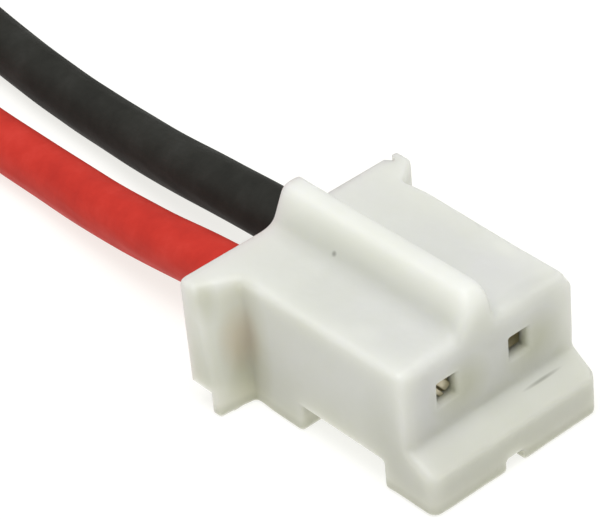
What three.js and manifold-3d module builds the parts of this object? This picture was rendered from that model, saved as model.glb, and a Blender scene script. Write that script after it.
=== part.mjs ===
// Single-cell lithium polymer battery pack with a two-pin crimp plug on two leads.
// Units are millimetres and +Z is up. The origin is at the bottom centre of the pack. The cell's
// terrace, where its tabs, its protection board and its leads are, faces -Y. The leads run towards -Y
// along the surface that the pack lies on, and their plug points its mating end along -Y too.

import * as THREE from 'three';
import { ConvexGeometry } from 'three/addons/geometries/ConvexGeometry.js';
import { mergeVertices } from 'three/addons/utils/BufferGeometryUtils.js';
import Module from 'manifold-3d';

const wasm = await Module();
wasm.setup();

// ---- driving dimensions ----

// Pack, outside the tape
const PACK_WIDTH = 25.4;
const PACK_LENGTH = 42.0;
const PACK_HEIGHT = 5.2;
const TAPE = 0.1;               // thickness of the polyimide tape
const CLEAR = 0.02;             // clearance between neighbouring pieces of the pack

// Pouch
const LAMINATE = 0.2;           // aluminium laminate with its heat-seal layers
const SEAM = 0.4;               // side seam, folded double against the cup
const TERRACE = 4.0;            // length of the sealed terrace that the tabs come through
const TERRACE_HEIGHT = 0.75;    // height of the two sealed laminates
const TERRACE_INSET = 0.6;      // the terrace is this much narrower than the cup at each end
const HEAD_ROOM = 0.5;          // between the head tape and the terrace's free edge
const SEAM_INSET = 0.4;         // each folded seam ends this far from the cup's ends
const SEAM_DROP = 0.5;          // and stays this far below the cup's top
const ROLL_GAP = 0.35;          // round the electrodes, at the sides and the tail
const ROLL_LIFT = 0.15;         // below and above the electrodes
const ROLL_SETBACK = 2.4;       // room in front of the electrodes for the tabs
const CUP_RADIUS = 1.6;         // corner radius of the drawn cup, in plan

// Tabs and protection board
const TAB_WIDTH = 3.0;
const TAB_THICK = 0.15;
const TAB_X = 8.0;              // distance of each tab from the pack's middle plane
const SLEEVE_WIDTH = 4.4;       // polymer sealing film round each tab
const SLEEVE_HEIGHT = 0.3;
const SLEEVE_SETBACK = 0.4;     // from the terrace's free edge to the sealing film
const SLEEVE_OVERRUN = 0.3;     // length of the film inside the cup
const TAB_TURN = 0.15;          // how far in front of the terrace a tab turns up
const TAB_FOLD = 2.4;           // length of the tab's end that lies over the board
const PLATE_WIDTH = 3.6;        // weld plates under the tabs' ends
const PLATE_LENGTH = 2.8;
const PLATE_THICK = 0.1;
const PLATE_SETBACK = 0.2;
const BOARD_LENGTH = 21.0;      // along X
const BOARD_WIDTH = 3.3;
const BOARD_THICK = 0.6;
const FOAM_THICK = 0.5;
const CHIP_X = 3.5;             // distance of both chips from the board's middle
const CHIP_LENGTH = 2.9;
const CHIP_WIDTH = 1.6;
const CHIP_HEIGHT = 1.0;
const CHIP_STANDOFF = 0.1;
const LEG_PITCH = 0.95;
const LEG_WIDTH = 0.4;
const LEG_THICK = 0.13;
const SMALL_PART_X = 5.5;       // distance of the resistors and the capacitor from the middle
const SMALL_PART_OFFSET = 0.8;  // of each resistor from the board's long middle line
const SMALL_PART_WIDTH = 0.54;
const SMALL_PART_LENGTH = 1.0;
const RESISTOR_HEIGHT = 0.35;
const CAPACITOR_HEIGHT = 0.5;
const JOINT_SETBACK = 1.2;      // from the end of a lead's insulation to its solder joint

// Tape
const TAPE_BACK = -11.4;        // rear edge of the head tape
const TAPE_FRONT_HEIGHT = 3.9;  // the head tape slopes down to this height in front of the cup
const TAPE_LAP = 2.0;           // width of an edge tape on the pack's top and bottom
const TAPE_TAIL_GAP = 0.6;      // bare length between an edge tape and the tail
const LEAD_GAP = 0.15;          // gap round the leads where they pass the head tape

// Leads
const PITCH = 2.0;              // distance between the plug's two contacts
const LEAD_OD = 1.3;
const LEAD_BORE_R = 0.36;
const STRAND_R = 0.24;          // bundle of strands of a 26-gauge lead
const LEAD_STEP = 3.0;          // length of one straight step of a lead's tube
const TUBE_SIDES = 8;

// Plug, from the middle of its front face at the height of the surface that it lies on
const PLUG_X = -6.0;
const PLUG_Y = -76.4;
const BODY_WIDTH = 4.56;
const PLUG_LENGTH = 5.74;       // front face to wire end
const PLUG_TOP = 3.2;
const TOP_BEVEL = 0.14;         // rounding between the front face and the top
const LIP_LENGTH = 0.73;        // lip that stands forward of the front face
const LIP_CHAMFER = 0.12;       // cut off the lip's two upright front edges
const LIP_TOP = 0.95;
const LIP_ROOT = 1.33;
const FOOT_BACK = 0.71;         // back of the front foot
const REAR_FOOT_FRONT = 3.29;
const UNDERSIDE = 0.71;         // height of the relieved underside
const HEEL_START = 5.14;        // the wire end is relieved from here on
const HEEL_HEIGHT = 0.57;
const EAR_ROOT = 4.74;          // where the ears leave the sides
const EAR_OVERLAP = 0.2;        // how deep an ear's block reaches into the body
const LEFT_EAR_REACH = 3.04;    // outer face of each ear, from the middle plane
const RIGHT_EAR_REACH = 2.94;
const EAR_SLANT = 0.6;          // how far an ear's front face slants back
const LEFT_EAR_SLANT_LOW = 0.16;  // the left ear's slants back less at its bottom
const NICK_DEPTH = 0.18;        // small nick in the right ear's top rear edge
const NICK_BOTTOM = 2.2;
const RIDGE_TOP = 4.02;
const RIDGE_HALF = 0.24;        // half width of the ridge's flat top
const RIDGE_FRONT = 0.05;       // the ridge starts almost flush with the front face
const RIDGE_NOSE = 0.3;         // length of its sloped front end
const RIDGE_LEFT_FOOT = 0.56;   // where the ridge's left flank meets the fillet at its foot
const RIDGE_RIGHT_FOOT = 0.36;  // where its steep right flank meets the top
const FILLET_REACH = 0.85;      // outer edge of the fillet along the left flank
const NOTCH_HALF = 0.26;        // keying notch in the lip
const NOTCH_HEIGHT = 0.3;
const HOLE_Z = 2.24;            // height of the contact holes
const HOLE = 0.54;              // square hole for the mating pin
const LEAD_IN = 0.8;            // outer size of the hole's small funnel
const LEAD_IN_DEPTH = 0.14;
const FRONT_WALL = 0.3;         // wall between the front face and the contacts
const CAVITY_HALF = 0.81;       // half width of a contact cavity
const BOX_FLOOR = 1.6;          // floor and roof of the cavity round the contact's spring box
const BOX_ROOF = 2.88;
const STEP_START = 2.9;         // a step in the cavity's floor lets the contact's strip down
const STEP_FLOOR = 1.1;
const STEP_END = 3.6;
const WIRE_START = 3.4;         // the wider rear of the cavity, round the crimps and the lead
const WIRE_FLOOR = 0.78;
const WIRE_ROOF = 2.75;
const WINDOW = 1.0;             // width of the locking window under a cavity
const WINDOW_START = 1.3;
const WIRE_Z = 1.6;             // height of the leads in the plug

// Contact
const SHEET = 0.12;             // sheet metal of the contact
const BOX_HALF_WIDTH = 0.6;     // spring box round the mating pin
const BOX_HALF_HEIGHT = 0.58;
const BOX_BACK = 2.9;
const BOX_SHEET = 0.14;
const LEAVES = [[0.02, 2.25, 0.2], [-0.1, 2.08, 0.11]];  // middle X and Z, thickness
const LEAF_WIDTH = 0.5;
const LEAF_SPAN = [0.33, 1.1];  // front and back
const LEAF_TURN = 52 * Math.PI / 180;
const SPRING_WIDTH = 0.6;
const STRIP_WIDTH = 0.8;        // strip that joins the box to the two crimps
const TONGUE_WIDTH = 0.44;      // locking tongue in the window
const WIRE_CRIMP = [3.6, 4.15]; // front and rear end of the crimp on the strands
const GRIP_CRIMP = [4.5, 5.35]; // front and rear end of the crimp on the insulation

// ---- helpers ----

function solidOf(geometry) {
  const plain = geometry.clone();
  plain.deleteAttribute('normal');
  plain.deleteAttribute('uv');
  const merged = mergeVertices(plain, 1e-5);
  return new wasm.Manifold(new wasm.Mesh({
    numProp: 3,
    vertProperties: new Float32Array(merged.attributes.position.array),
    triVerts: new Uint32Array(merged.index.array),
  }));
}

function geometryOf(solid) {
  const mesh = solid.getMesh();
  const geometry = new THREE.BufferGeometry();
  geometry.setAttribute('position', new THREE.BufferAttribute(mesh.vertProperties, 3));
  geometry.setIndex(new THREE.BufferAttribute(mesh.triVerts, 1));
  geometry.computeVertexNormals();
  return geometry;
}

function union(first, ...rest) {
  return geometryOf(rest.reduce((sum, item) => sum.add(solidOf(item)), solidOf(first)));
}

function cut(first, ...rest) {
  return geometryOf(rest.reduce((sum, item) => sum.subtract(solidOf(item)), solidOf(first)));
}

// A block between two opposite corners
function block(x0, x1, y0, y1, z0, z1) {
  const geometry = new THREE.BoxGeometry(x1 - x0, y1 - y0, z1 - z0);
  geometry.translate((x0 + x1) / 2, (y0 + y1) / 2, (z0 + z1) / 2);
  return geometry;
}

function extrude(outline, depth) {
  return new THREE.ExtrudeGeometry(outline, { depth, bevelEnabled: false, curveSegments: 5 });
}

// A shape drawn in X and Y, raised from z0 to z1
function raised(outline, z0, z1) {
  const geometry = extrude(outline, z1 - z0);
  geometry.translate(0, 0, z0);
  return geometry;
}

// A shape drawn in Y and Z, drawn out along X from x0 to x1
function across(outline, x0, x1) {
  const geometry = extrude(outline, x1 - x0);
  const axes = [new THREE.Vector3(0, 1, 0), new THREE.Vector3(0, 0, 1), new THREE.Vector3(1, 0, 0)];
  geometry.applyMatrix4(new THREE.Matrix4().makeBasis(...axes));
  geometry.translate(x0, 0, 0);
  return geometry;
}

// A shape drawn in X and Z, drawn out along Y from y0 to y1
function along(outline, y0, y1) {
  const geometry = extrude(outline, y1 - y0);
  const axes = [new THREE.Vector3(1, 0, 0), new THREE.Vector3(0, 0, 1), new THREE.Vector3(0, -1, 0)];
  geometry.applyMatrix4(new THREE.Matrix4().makeBasis(...axes));
  geometry.translate(0, y1, 0);
  return geometry;
}

function polygon(points) {
  return new THREE.Shape(points.map(([a, b]) => new THREE.Vector2(a, b)));
}

function roundedRectangle(x0, x1, y0, y1, r) {
  const outline = new THREE.Shape();
  outline.moveTo(x0 + r, y0);
  outline.lineTo(x1 - r, y0);
  outline.absarc(x1 - r, y0 + r, r, -Math.PI / 2, 0);
  outline.lineTo(x1, y1 - r);
  outline.absarc(x1 - r, y1 - r, r, 0, Math.PI / 2);
  outline.lineTo(x0 + r, y1);
  outline.absarc(x0 + r, y1 - r, r, Math.PI / 2, Math.PI);
  outline.lineTo(x0, y0 + r);
  outline.absarc(x0 + r, y0 + r, r, Math.PI, 1.5 * Math.PI);
  return outline;
}

// A ribbon of sheet metal: a centre line in Y and Z, thickened and drawn out along X
function ribbon(line, thickness, x0, x1) {
  const left = [];
  const right = [];
  line.forEach(([y, z], i) => {
    const before = line[Math.max(i - 1, 0)];
    const after = line[Math.min(i + 1, line.length - 1)];
    const into = new THREE.Vector2(y - before[0], z - before[1]).normalize();
    const out = new THREE.Vector2(after[0] - y, after[1] - z).normalize();
    const tangent = into.clone().add(out).normalize();
    const bend = Math.max(Math.abs(into.dot(tangent)), Math.abs(out.dot(tangent)), 0.5);
    const reach = thickness / 2 / bend;
    left.push([y - tangent.y * reach, z + tangent.x * reach]);
    right.push([y + tangent.y * reach, z - tangent.x * reach]);
  });
  return across(polygon([...left, ...right.reverse()]), x0, x1);
}

// A regular polygon about the origin, for the section of a tube
function ring(radius, bore) {
  const corners = (r) => Array.from({ length: TUBE_SIDES }, (_, i) => {
    const angle = (i + 0.5) * 2 * Math.PI / TUBE_SIDES;
    return new THREE.Vector2(r * Math.cos(angle), r * Math.sin(angle));
  });
  const outline = new THREE.Shape(corners(radius));
  if (bore) {
    outline.holes.push(new THREE.Path(corners(bore)));
  }
  return outline;
}

const pack = new THREE.Group();
const plug = new THREE.Group();
plug.position.set(PLUG_X, PLUG_Y, 0);
const leads = new THREE.Group();
const battery = new THREE.Group();
battery.add(pack, plug, leads);

function add(group, name, geometry, finish) {
  const mesh = new THREE.Mesh(geometry, new THREE.MeshStandardMaterial(finish));
  mesh.name = name;
  group.add(mesh);
}

const FINISH = {
  laminate: { color: 0xb9bcc0, roughness: 0.38, metalness: 0.85 },
  electrode: { color: 0x2c2d30, roughness: 0.8, metalness: 0.1 },
  aluminium: { color: 0xc9ccd0, roughness: 0.35, metalness: 1.0 },
  nickel: { color: 0xb4ada0, roughness: 0.32, metalness: 1.0 },
  sealant: { color: 0xd8d2c0, roughness: 0.55, metalness: 0.0 },
  foam: { color: 0xe6e6e0, roughness: 0.95, metalness: 0.0 },
  board: { color: 0x1e5a38, roughness: 0.5, metalness: 0.0 },
  chip: { color: 0x18191b, roughness: 0.6, metalness: 0.0 },
  ceramic: { color: 0xb59a74, roughness: 0.6, metalness: 0.0 },
  solder: { color: 0xbfc2c4, roughness: 0.25, metalness: 1.0 },
  tape: { color: 0xc98a1e, roughness: 0.3, metalness: 0.0 },
  nylon: { color: 0xdededa, roughness: 0.45, metalness: 0.0 },
  brass: { color: 0xb8a582, roughness: 0.35, metalness: 1.0 },
  blackPvc: { color: 0x323230, roughness: 0.65, metalness: 0.0 },
  redPvc: { color: 0xc83c32, roughness: 0.5, metalness: 0.0 },
  copper: { color: 0xc9b7a4, roughness: 0.35, metalness: 1.0 },
};

// ---- pouch cell ----

const headY = -PACK_LENGTH / 2;                 // outer face of the head tape
const tailY = PACK_LENGTH / 2;
const terraceY = headY + TAPE + HEAD_ROOM;      // free edge of the terrace
const cupFrontY = terraceY + TERRACE;           // wall where the cup rises from the terrace
const sideX = PACK_WIDTH / 2 - TAPE - CLEAR;    // outer face of the folded side seams
const cupX = sideX - SEAM - CLEAR;              // outer face of the cup's side walls
const sheetZ0 = TAPE + CLEAR;
const sheetZ1 = sheetZ0 + LAMINATE;             // top of the flat back sheet
const cupZ0 = sheetZ1 + CLEAR;
const cupZ1 = PACK_HEIGHT - TAPE - CLEAR;       // top of the cup
const seamZ1 = cupZ1 - SEAM_DROP;
const terraceZ1 = TAPE + TERRACE_HEIGHT;

function pouchCup() {
  const shell = raised(roundedRectangle(-cupX, cupX, cupFrontY, tailY, CUP_RADIUS), cupZ0, cupZ1);
  const room = roundedRectangle(-cupX + LAMINATE, cupX - LAMINATE, cupFrontY + LAMINATE,
    tailY - LAMINATE, CUP_RADIUS - LAMINATE);
  const hollow = raised(room, cupZ0 - 1, cupZ1 - LAMINATE);
  const terrace = block(-cupX + TERRACE_INSET, cupX - TERRACE_INSET, terraceY,
    cupFrontY + LAMINATE / 2, cupZ0, terraceZ1);
  const slots = [-1, 1].map((side) => block(
    side * TAB_X - SLEEVE_WIDTH / 2 - CLEAR, side * TAB_X + SLEEVE_WIDTH / 2 + CLEAR,
    terraceY - 1, cupFrontY + 2 * LAMINATE, cupZ0 - 1, cupZ0 + SLEEVE_HEIGHT + CLEAR));
  return cut(union(shell, terrace), hollow, ...slots);
}

function backSheet() {
  const sheet = block(-sideX, sideX, terraceY, tailY, sheetZ0, sheetZ1);
  const seams = [-1, 1].map((side) => {
    const middle = side * (sideX - SEAM / 2);
    return block(middle - SEAM / 2, middle + SEAM / 2, cupFrontY + SEAM_INSET, tailY - SEAM_INSET,
      sheetZ0, seamZ1);
  });
  return union(sheet, ...seams);
}

const rollX = cupX - LAMINATE - ROLL_GAP;
const rollZ0 = cupZ0 + ROLL_LIFT;
const rollZ1 = cupZ1 - LAMINATE - ROLL_LIFT;
const rollY0 = cupFrontY + ROLL_SETBACK;
const rollY1 = tailY - LAMINATE - ROLL_GAP;

// Flat-wound electrodes: round along both long sides
function electrodeRoll() {
  const r = (rollZ1 - rollZ0) / 2;
  const outline = new THREE.Shape();
  outline.moveTo(-rollX + r, rollZ0);
  outline.lineTo(rollX - r, rollZ0);
  outline.absarc(rollX - r, rollZ0 + r, r, -Math.PI / 2, Math.PI / 2);
  outline.lineTo(-rollX + r, rollZ1);
  outline.absarc(-rollX + r, rollZ0 + r, r, Math.PI / 2, 1.5 * Math.PI);
  return along(outline, rollY0, rollY1);
}

add(pack, 'pouch_cup', pouchCup(), FINISH.laminate);
add(pack, 'pouch_back_sheet', backSheet(), FINISH.laminate);
add(pack, 'electrode_roll', electrodeRoll(), FINISH.electrode);

// ---- tabs, protection board and what is on it ----

const foamZ = terraceZ1 + CLEAR;
const boardZ0 = foamZ + FOAM_THICK + CLEAR;
const boardZ1 = boardZ0 + BOARD_THICK;
const boardY0 = terraceY + HEAD_ROOM;
const boardY1 = boardY0 + BOARD_WIDTH;
const boardY = (boardY0 + boardY1) / 2;
const mountZ = boardZ1 + CLEAR;                 // what is soldered to the board stands on this
const plateZ1 = mountZ + PLATE_THICK;
const tabZ = cupZ0 + SLEEVE_HEIGHT / 2;
const tabTopZ = plateZ1 + CLEAR + TAB_THICK / 2;
const tabTurnY = terraceY - TAB_TURN;

// A tab leaves the electrodes, passes the terrace, turns up in front of the board and folds back on it
function tab(x) {
  const line = [[rollY0 - CLEAR, tabZ], [tabTurnY, tabZ], [tabTurnY, tabTopZ],
    [boardY0 + TAB_FOLD, tabTopZ]];
  return ribbon(line, TAB_THICK, x - TAB_WIDTH / 2, x + TAB_WIDTH / 2);
}

function tabSealant(x) {
  const film = block(x - SLEEVE_WIDTH / 2, x + SLEEVE_WIDTH / 2, terraceY + SLEEVE_SETBACK,
    cupFrontY + LAMINATE + SLEEVE_OVERRUN, cupZ0, cupZ0 + SLEEVE_HEIGHT);
  const slot = block(x - TAB_WIDTH / 2 - CLEAR, x + TAB_WIDTH / 2 + CLEAR, terraceY - 1,
    cupFrontY + 3, tabZ - TAB_THICK / 2 - CLEAR, tabZ + TAB_THICK / 2 + CLEAR);
  return cut(film, slot);
}

function weldPlate(x) {
  const front = boardY0 + PLATE_SETBACK;
  return block(x - PLATE_WIDTH / 2, x + PLATE_WIDTH / 2, front, front + PLATE_LENGTH, mountZ, plateZ1);
}

// A small chip with three bent legs on each long side
function chip(x) {
  const half = CHIP_WIDTH / 2;
  const bottom = mountZ + CHIP_STANDOFF;
  const pieces = [block(x - CHIP_LENGTH / 2, x + CHIP_LENGTH / 2, boardY - half, boardY + half,
    bottom, bottom + CHIP_HEIGHT)];
  const footZ = LEG_THICK / 2 + 0.005;
  for (const legX of [x - LEG_PITCH, x, x + LEG_PITCH]) {
    for (const side of [-1, 1]) {
      const leg = [[half - 0.1, 0.5], [half + 0.2, 0.5], [half + 0.3, footZ], [half + 0.6, footZ]]
        .map(([out, up]) => [boardY + side * out, mountZ + up]);
      pieces.push(ribbon(side > 0 ? leg : leg.reverse(), LEG_THICK, legX - LEG_WIDTH / 2,
        legX + LEG_WIDTH / 2));
    }
  }
  return union(...pieces);
}

// A chip resistor or capacitor
function smallPart(x, y, height) {
  return block(x - SMALL_PART_WIDTH / 2, x + SMALL_PART_WIDTH / 2, y - SMALL_PART_LENGTH / 2,
    y + SMALL_PART_LENGTH / 2, mountZ, mountZ + height);
}

const PADS = [
  { name: 'positive', side: -1, finish: FINISH.aluminium },
  { name: 'negative', side: 1, finish: FINISH.nickel },
];
for (const { name, side, finish } of PADS) {
  add(pack, `${name}_tab`, tab(side * TAB_X), finish);
  add(pack, `${name}_tab_sealant`, tabSealant(side * TAB_X), FINISH.sealant);
  add(pack, `${name}_weld_plate`, weldPlate(side * TAB_X), FINISH.nickel);
}

const halfBoard = BOARD_LENGTH / 2;
add(pack, 'foam_pad', block(-halfBoard, halfBoard, boardY0, boardY1, foamZ, foamZ + FOAM_THICK),
  FINISH.foam);
add(pack, 'protection_board', block(-halfBoard, halfBoard, boardY0, boardY1, boardZ0, boardZ1),
  FINISH.board);
add(pack, 'protection_chip', chip(-CHIP_X), FINISH.chip);
add(pack, 'switch_chip', chip(CHIP_X), FINISH.chip);
add(pack, 'sense_resistor', smallPart(-SMALL_PART_X, boardY + SMALL_PART_OFFSET, RESISTOR_HEIGHT),
  FINISH.chip);
add(pack, 'supply_resistor', smallPart(-SMALL_PART_X, boardY - SMALL_PART_OFFSET, RESISTOR_HEIGHT),
  FINISH.chip);
add(pack, 'supply_capacitor', smallPart(SMALL_PART_X, boardY, CAPACITOR_HEIGHT), FINISH.ceramic);

// ---- leads ----

// Each route runs from the contact to the board: straight out of the plug, down to the surface,
// along it in a long bend, and up to the board. Points are measured from the plug's origin.
const RED_ROUTE = [
  [-1, 4.35, 1.6], [-1, 5.74, 1.6], [-1, 7.5, 1.46], [-1, 9.5, 1.21], [-0.9, 11.5, 0.95],
  [-0.73, 13.8, 0.73], [-0.68, 15.8, 0.69], [-0.6, 18, 0.68], [-0.35, 20.8, 0.68],
  [0.1, 24, 0.68], [0.75, 27.4, 0.68], [1.55, 30.8, 0.68], [2.45, 34.2, 0.68],
  [3.35, 37.6, 0.68], [4.15, 41, 0.68], [4.72, 44.2, 0.8], [4.96, 47, 1.15],
  [5, 49.8, 1.8], [5, 52.4, 2.4], [5, 54.4, 2.66], [5, 56.6, 2.69],
];
const BLACK_ROUTE = [
  [1, 4.35, 1.6], [1, 5.74, 1.6], [1, 7.5, 1.61], [1.07, 9.5, 1.43], [1.3, 12, 1.02],
  [1.53, 14.1, 0.75], [1.62, 15.7, 0.69], [1.74, 17.4, 0.68], [1.94, 19.3, 0.68],
  [2.35, 22, 0.68], [2.98, 25, 0.68], [3.82, 28.4, 0.68], [4.72, 31.8, 0.68],
  [5.55, 35.2, 0.68], [6.25, 38.6, 0.68], [6.75, 42, 0.7], [6.95, 45, 0.88],
  [7, 48, 1.36], [7, 51, 2.1], [7, 53.6, 2.58], [7, 55.2, 2.68], [7, 56.6, 2.69],
];
const CRIMP_REACH = 0.75;       // bare strands inside the contact
const SOLDER_REACH = 1.9;       // bare strands on the board

function tube(route, radius, bore) {
  const path = new THREE.CatmullRomCurve3(route.map((point) => new THREE.Vector3(...point)));
  const steps = Math.round(path.getLength() / LEAD_STEP);
  return new THREE.ExtrudeGeometry(ring(radius, bore), { extrudePath: path, steps });
}

function strands(route) {
  const lap = 0.1;
  const bare = ([x, y, z], reach) => {
    const rod = new THREE.CylinderGeometry(STRAND_R, STRAND_R, reach + lap, TUBE_SIDES);
    return rod.translate(x, y, z);
  };
  const inCrimp = bare(route[0], CRIMP_REACH).translate(0, (lap - CRIMP_REACH) / 2, 0);
  const inSolder = bare(route[route.length - 1], SOLDER_REACH)
    .translate(0, (SOLDER_REACH - lap) / 2, 0);
  return union(tube(route, STRAND_R, 0), inCrimp, inSolder);
}

leads.position.copy(plug.position);
for (const [colour, route, finish] of [['red', RED_ROUTE, FINISH.redPvc],
  ['black', BLACK_ROUTE, FINISH.blackPvc]]) {
  add(leads, `${colour}_lead_insulation`, tube(route, LEAD_OD / 2, LEAD_BORE_R), finish);
  add(leads, `${colour}_lead_strands`, strands(route), FINISH.copper);
}

// A rounded heap of solder with the strands sunk in it
function solderJoint(route) {
  const [x, y, z] = route[route.length - 1];
  const profile = [[0, 0], [0.7, 0], [0.66, 0.4], [0.5, 0.8], [0.26, 1.03], [0, 1.1]];
  const dome = new THREE.LatheGeometry(profile.map(([r, h]) => new THREE.Vector2(r, h)), 14);
  dome.rotateX(Math.PI / 2);
  dome.translate(x + PLUG_X, y + PLUG_Y + JOINT_SETBACK, mountZ);
  const boreLength = 4;
  const bore = new THREE.CylinderGeometry(STRAND_R + 2 * CLEAR, STRAND_R + 2 * CLEAR, boreLength, 12);
  bore.translate(x + PLUG_X, y + PLUG_Y + SOLDER_REACH + CLEAR - boreLength / 2, z);
  return cut(dome, bore);
}

add(pack, 'positive_solder_joint', solderJoint(RED_ROUTE), FINISH.solder);
add(pack, 'negative_solder_joint', solderJoint(BLACK_ROUTE), FINISH.solder);

// ---- tape ----

const slopeEnd = cupFrontY - 0.3;

// The wrap over the head: closed at the front except where the leads come out, open to the rear
function headTape() {
  const outer = across(polygon([[TAPE_BACK, 0], [TAPE_BACK, PACK_HEIGHT], [slopeEnd, PACK_HEIGHT],
    [headY, TAPE_FRONT_HEIGHT], [headY, 0]]), -PACK_WIDTH / 2, PACK_WIDTH / 2);
  const inner = across(polygon([[TAPE_BACK + 1, TAPE], [TAPE_BACK + 1, PACK_HEIGHT - TAPE],
    [slopeEnd, PACK_HEIGHT - TAPE], [headY + TAPE, TAPE_FRONT_HEIGHT - TAPE],
    [headY + TAPE, TAPE]]), -PACK_WIDTH / 2 + TAPE, PACK_WIDTH / 2 - TAPE);
  const [redX, , leadZ] = RED_ROUTE[RED_ROUTE.length - 1];
  const [blackX] = BLACK_ROUTE[BLACK_ROUTE.length - 1];
  const half = LEAD_OD / 2 + LEAD_GAP;
  const slot = block(redX + PLUG_X - half, blackX + PLUG_X + half, headY - 1, headY + 0.4,
    leadZ - half, leadZ + half);
  return cut(outer, inner, slot);
}

// A strip folded round one long edge, over the folded seam
function edgeTape(side) {
  const out = side * PACK_WIDTH / 2;
  const lap = side * (PACK_WIDTH / 2 - TAPE_LAP);
  const inset = side * (TAPE - CLEAR / 2);
  const strip = polygon([[lap, 0], [out, 0], [out, PACK_HEIGHT], [lap, PACK_HEIGHT],
    [lap, PACK_HEIGHT - TAPE], [out - inset, PACK_HEIGHT - TAPE], [out - inset, TAPE], [lap, TAPE]]);
  return along(strip, TAPE_BACK + TAPE, tailY - TAPE_TAIL_GAP);
}

add(pack, 'head_tape', headTape(), FINISH.tape);
add(pack, 'left_edge_tape', edgeTape(-1), FINISH.tape);
add(pack, 'right_edge_tape', edgeTape(1), FINISH.tape);

// ---- plug ----

// The housing without its cavities: body, lip and feet from one side outline, two ears and a ridge
function housingBlank() {
  const half = BODY_WIDTH / 2;
  const body = across(polygon([
    [-LIP_LENGTH, 0], [FOOT_BACK, 0], [FOOT_BACK, UNDERSIDE], [REAR_FOOT_FRONT, UNDERSIDE],
    [REAR_FOOT_FRONT, 0], [PLUG_LENGTH, 0], [PLUG_LENGTH, PLUG_TOP],
    [TOP_BEVEL, PLUG_TOP], [0.3 * TOP_BEVEL, PLUG_TOP - 0.3 * TOP_BEVEL], [0, PLUG_TOP - TOP_BEVEL],
    [0, LIP_ROOT], [-LIP_LENGTH, LIP_TOP],
  ]), -half, half);
  const ears = [
    [-1, LEFT_EAR_REACH, LEFT_EAR_SLANT_LOW],
    [1, RIGHT_EAR_REACH, EAR_SLANT],
  ].map(([side, reach, lowSlant]) => new ConvexGeometry([
    [half - EAR_OVERLAP, EAR_ROOT, 0], [half - EAR_OVERLAP, PLUG_LENGTH, 0],
    [reach, EAR_ROOT + lowSlant, 0], [reach, PLUG_LENGTH, 0],
    [half - EAR_OVERLAP, EAR_ROOT, PLUG_TOP], [half - EAR_OVERLAP, PLUG_LENGTH, PLUG_TOP],
    [reach, EAR_ROOT + EAR_SLANT, PLUG_TOP], [reach, PLUG_LENGTH, PLUG_TOP],
  ].map(([x, y, z]) => new THREE.Vector3(side * x, y, z))));
  const ridge = along(polygon([
    [-RIDGE_LEFT_FOOT, PLUG_TOP - TOP_BEVEL], [RIDGE_RIGHT_FOOT, PLUG_TOP - TOP_BEVEL],
    [RIDGE_RIGHT_FOOT, PLUG_TOP], [RIDGE_HALF + 0.03, PLUG_TOP + 0.15], [RIDGE_HALF, RIDGE_TOP],
    [-RIDGE_HALF, RIDGE_TOP], [-RIDGE_LEFT_FOOT, PLUG_TOP + 0.16],
  ]), RIDGE_FRONT, PLUG_LENGTH);
  const fillet = along(polygon([
    [-FILLET_REACH, PLUG_TOP - 0.05], [-0.4, PLUG_TOP - 0.05], [-0.4, PLUG_TOP + 0.16],
    [-RIDGE_LEFT_FOOT, PLUG_TOP + 0.16], [-FILLET_REACH, PLUG_TOP],
  ]), TOP_BEVEL, PLUG_LENGTH);
  return union(body, ...ears, ridge, fillet);
}

// One contact's way through the housing, from the funnel to the wire end
function cavity(x) {
  const funnel = new ConvexGeometry([[LEAD_IN / 2, 0], [HOLE / 2, LEAD_IN_DEPTH]]
    .flatMap(([half, y]) => [[-half, -half], [half, -half], [half, half], [-half, half]]
      .map(([dx, dz]) => new THREE.Vector3(x + dx, y, HOLE_Z + dz))));
  const pinHalf = HOLE / 2;
  const left = x - CAVITY_HALF;
  const right = x + CAVITY_HALF;
  return [
    funnel,
    block(x - pinHalf, x + pinHalf, -0.1, FRONT_WALL + 0.1, HOLE_Z - pinHalf, HOLE_Z + pinHalf),
    block(left, right, FRONT_WALL, STEP_END, BOX_FLOOR, BOX_ROOF),
    block(left, right, STEP_START, STEP_END, STEP_FLOOR, BOX_FLOOR + 0.1),
    block(left, right, WIRE_START, PLUG_LENGTH + 1, WIRE_FLOOR, WIRE_ROOF),
    block(x - WINDOW / 2, x + WINDOW / 2, WINDOW_START, STEP_START, -1, BOX_FLOOR + 0.1),
  ];
}

// What is cut off one upright front edge of the lip
function lipCorner(side) {
  const edge = BODY_WIDTH / 2 + 0.1;
  return raised(polygon([
    [side * (edge - LIP_CHAMFER - 0.2), -LIP_LENGTH - 0.1], [side * edge, -LIP_LENGTH - 0.1],
    [side * edge, -LIP_LENGTH + LIP_CHAMFER + 0.1],
  ]), -1, LIP_ROOT);
}

function plugHousing() {
  const heel = block(-5, 5, HEEL_START, PLUG_LENGTH + 1, -1, HEEL_HEIGHT);
  const notch = block(-NOTCH_HALF, NOTCH_HALF, -LIP_LENGTH - 1, FOOT_BACK + 0.1, -1, NOTCH_HEIGHT);
  const ridgeEnd = across(polygon([[RIDGE_FRONT - 0.05, PLUG_TOP + 0.25],
    [RIDGE_FRONT + RIDGE_NOSE, RIDGE_TOP + 0.1], [RIDGE_FRONT - 0.05, RIDGE_TOP + 0.1]]), -1, 1);
  const earNick = raised(polygon([[RIGHT_EAR_REACH - 0.5, PLUG_LENGTH + 0.01],
    [RIGHT_EAR_REACH - 0.26, PLUG_LENGTH - NICK_DEPTH],
    [RIGHT_EAR_REACH - 0.1, PLUG_LENGTH + 0.01]]), NICK_BOTTOM, PLUG_TOP + 1);
  return cut(housingBlank(), heel, notch, lipCorner(-1), lipCorner(1), ridgeEnd, earNick,
    ...cavity(-PITCH / 2), ...cavity(PITCH / 2));
}

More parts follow.
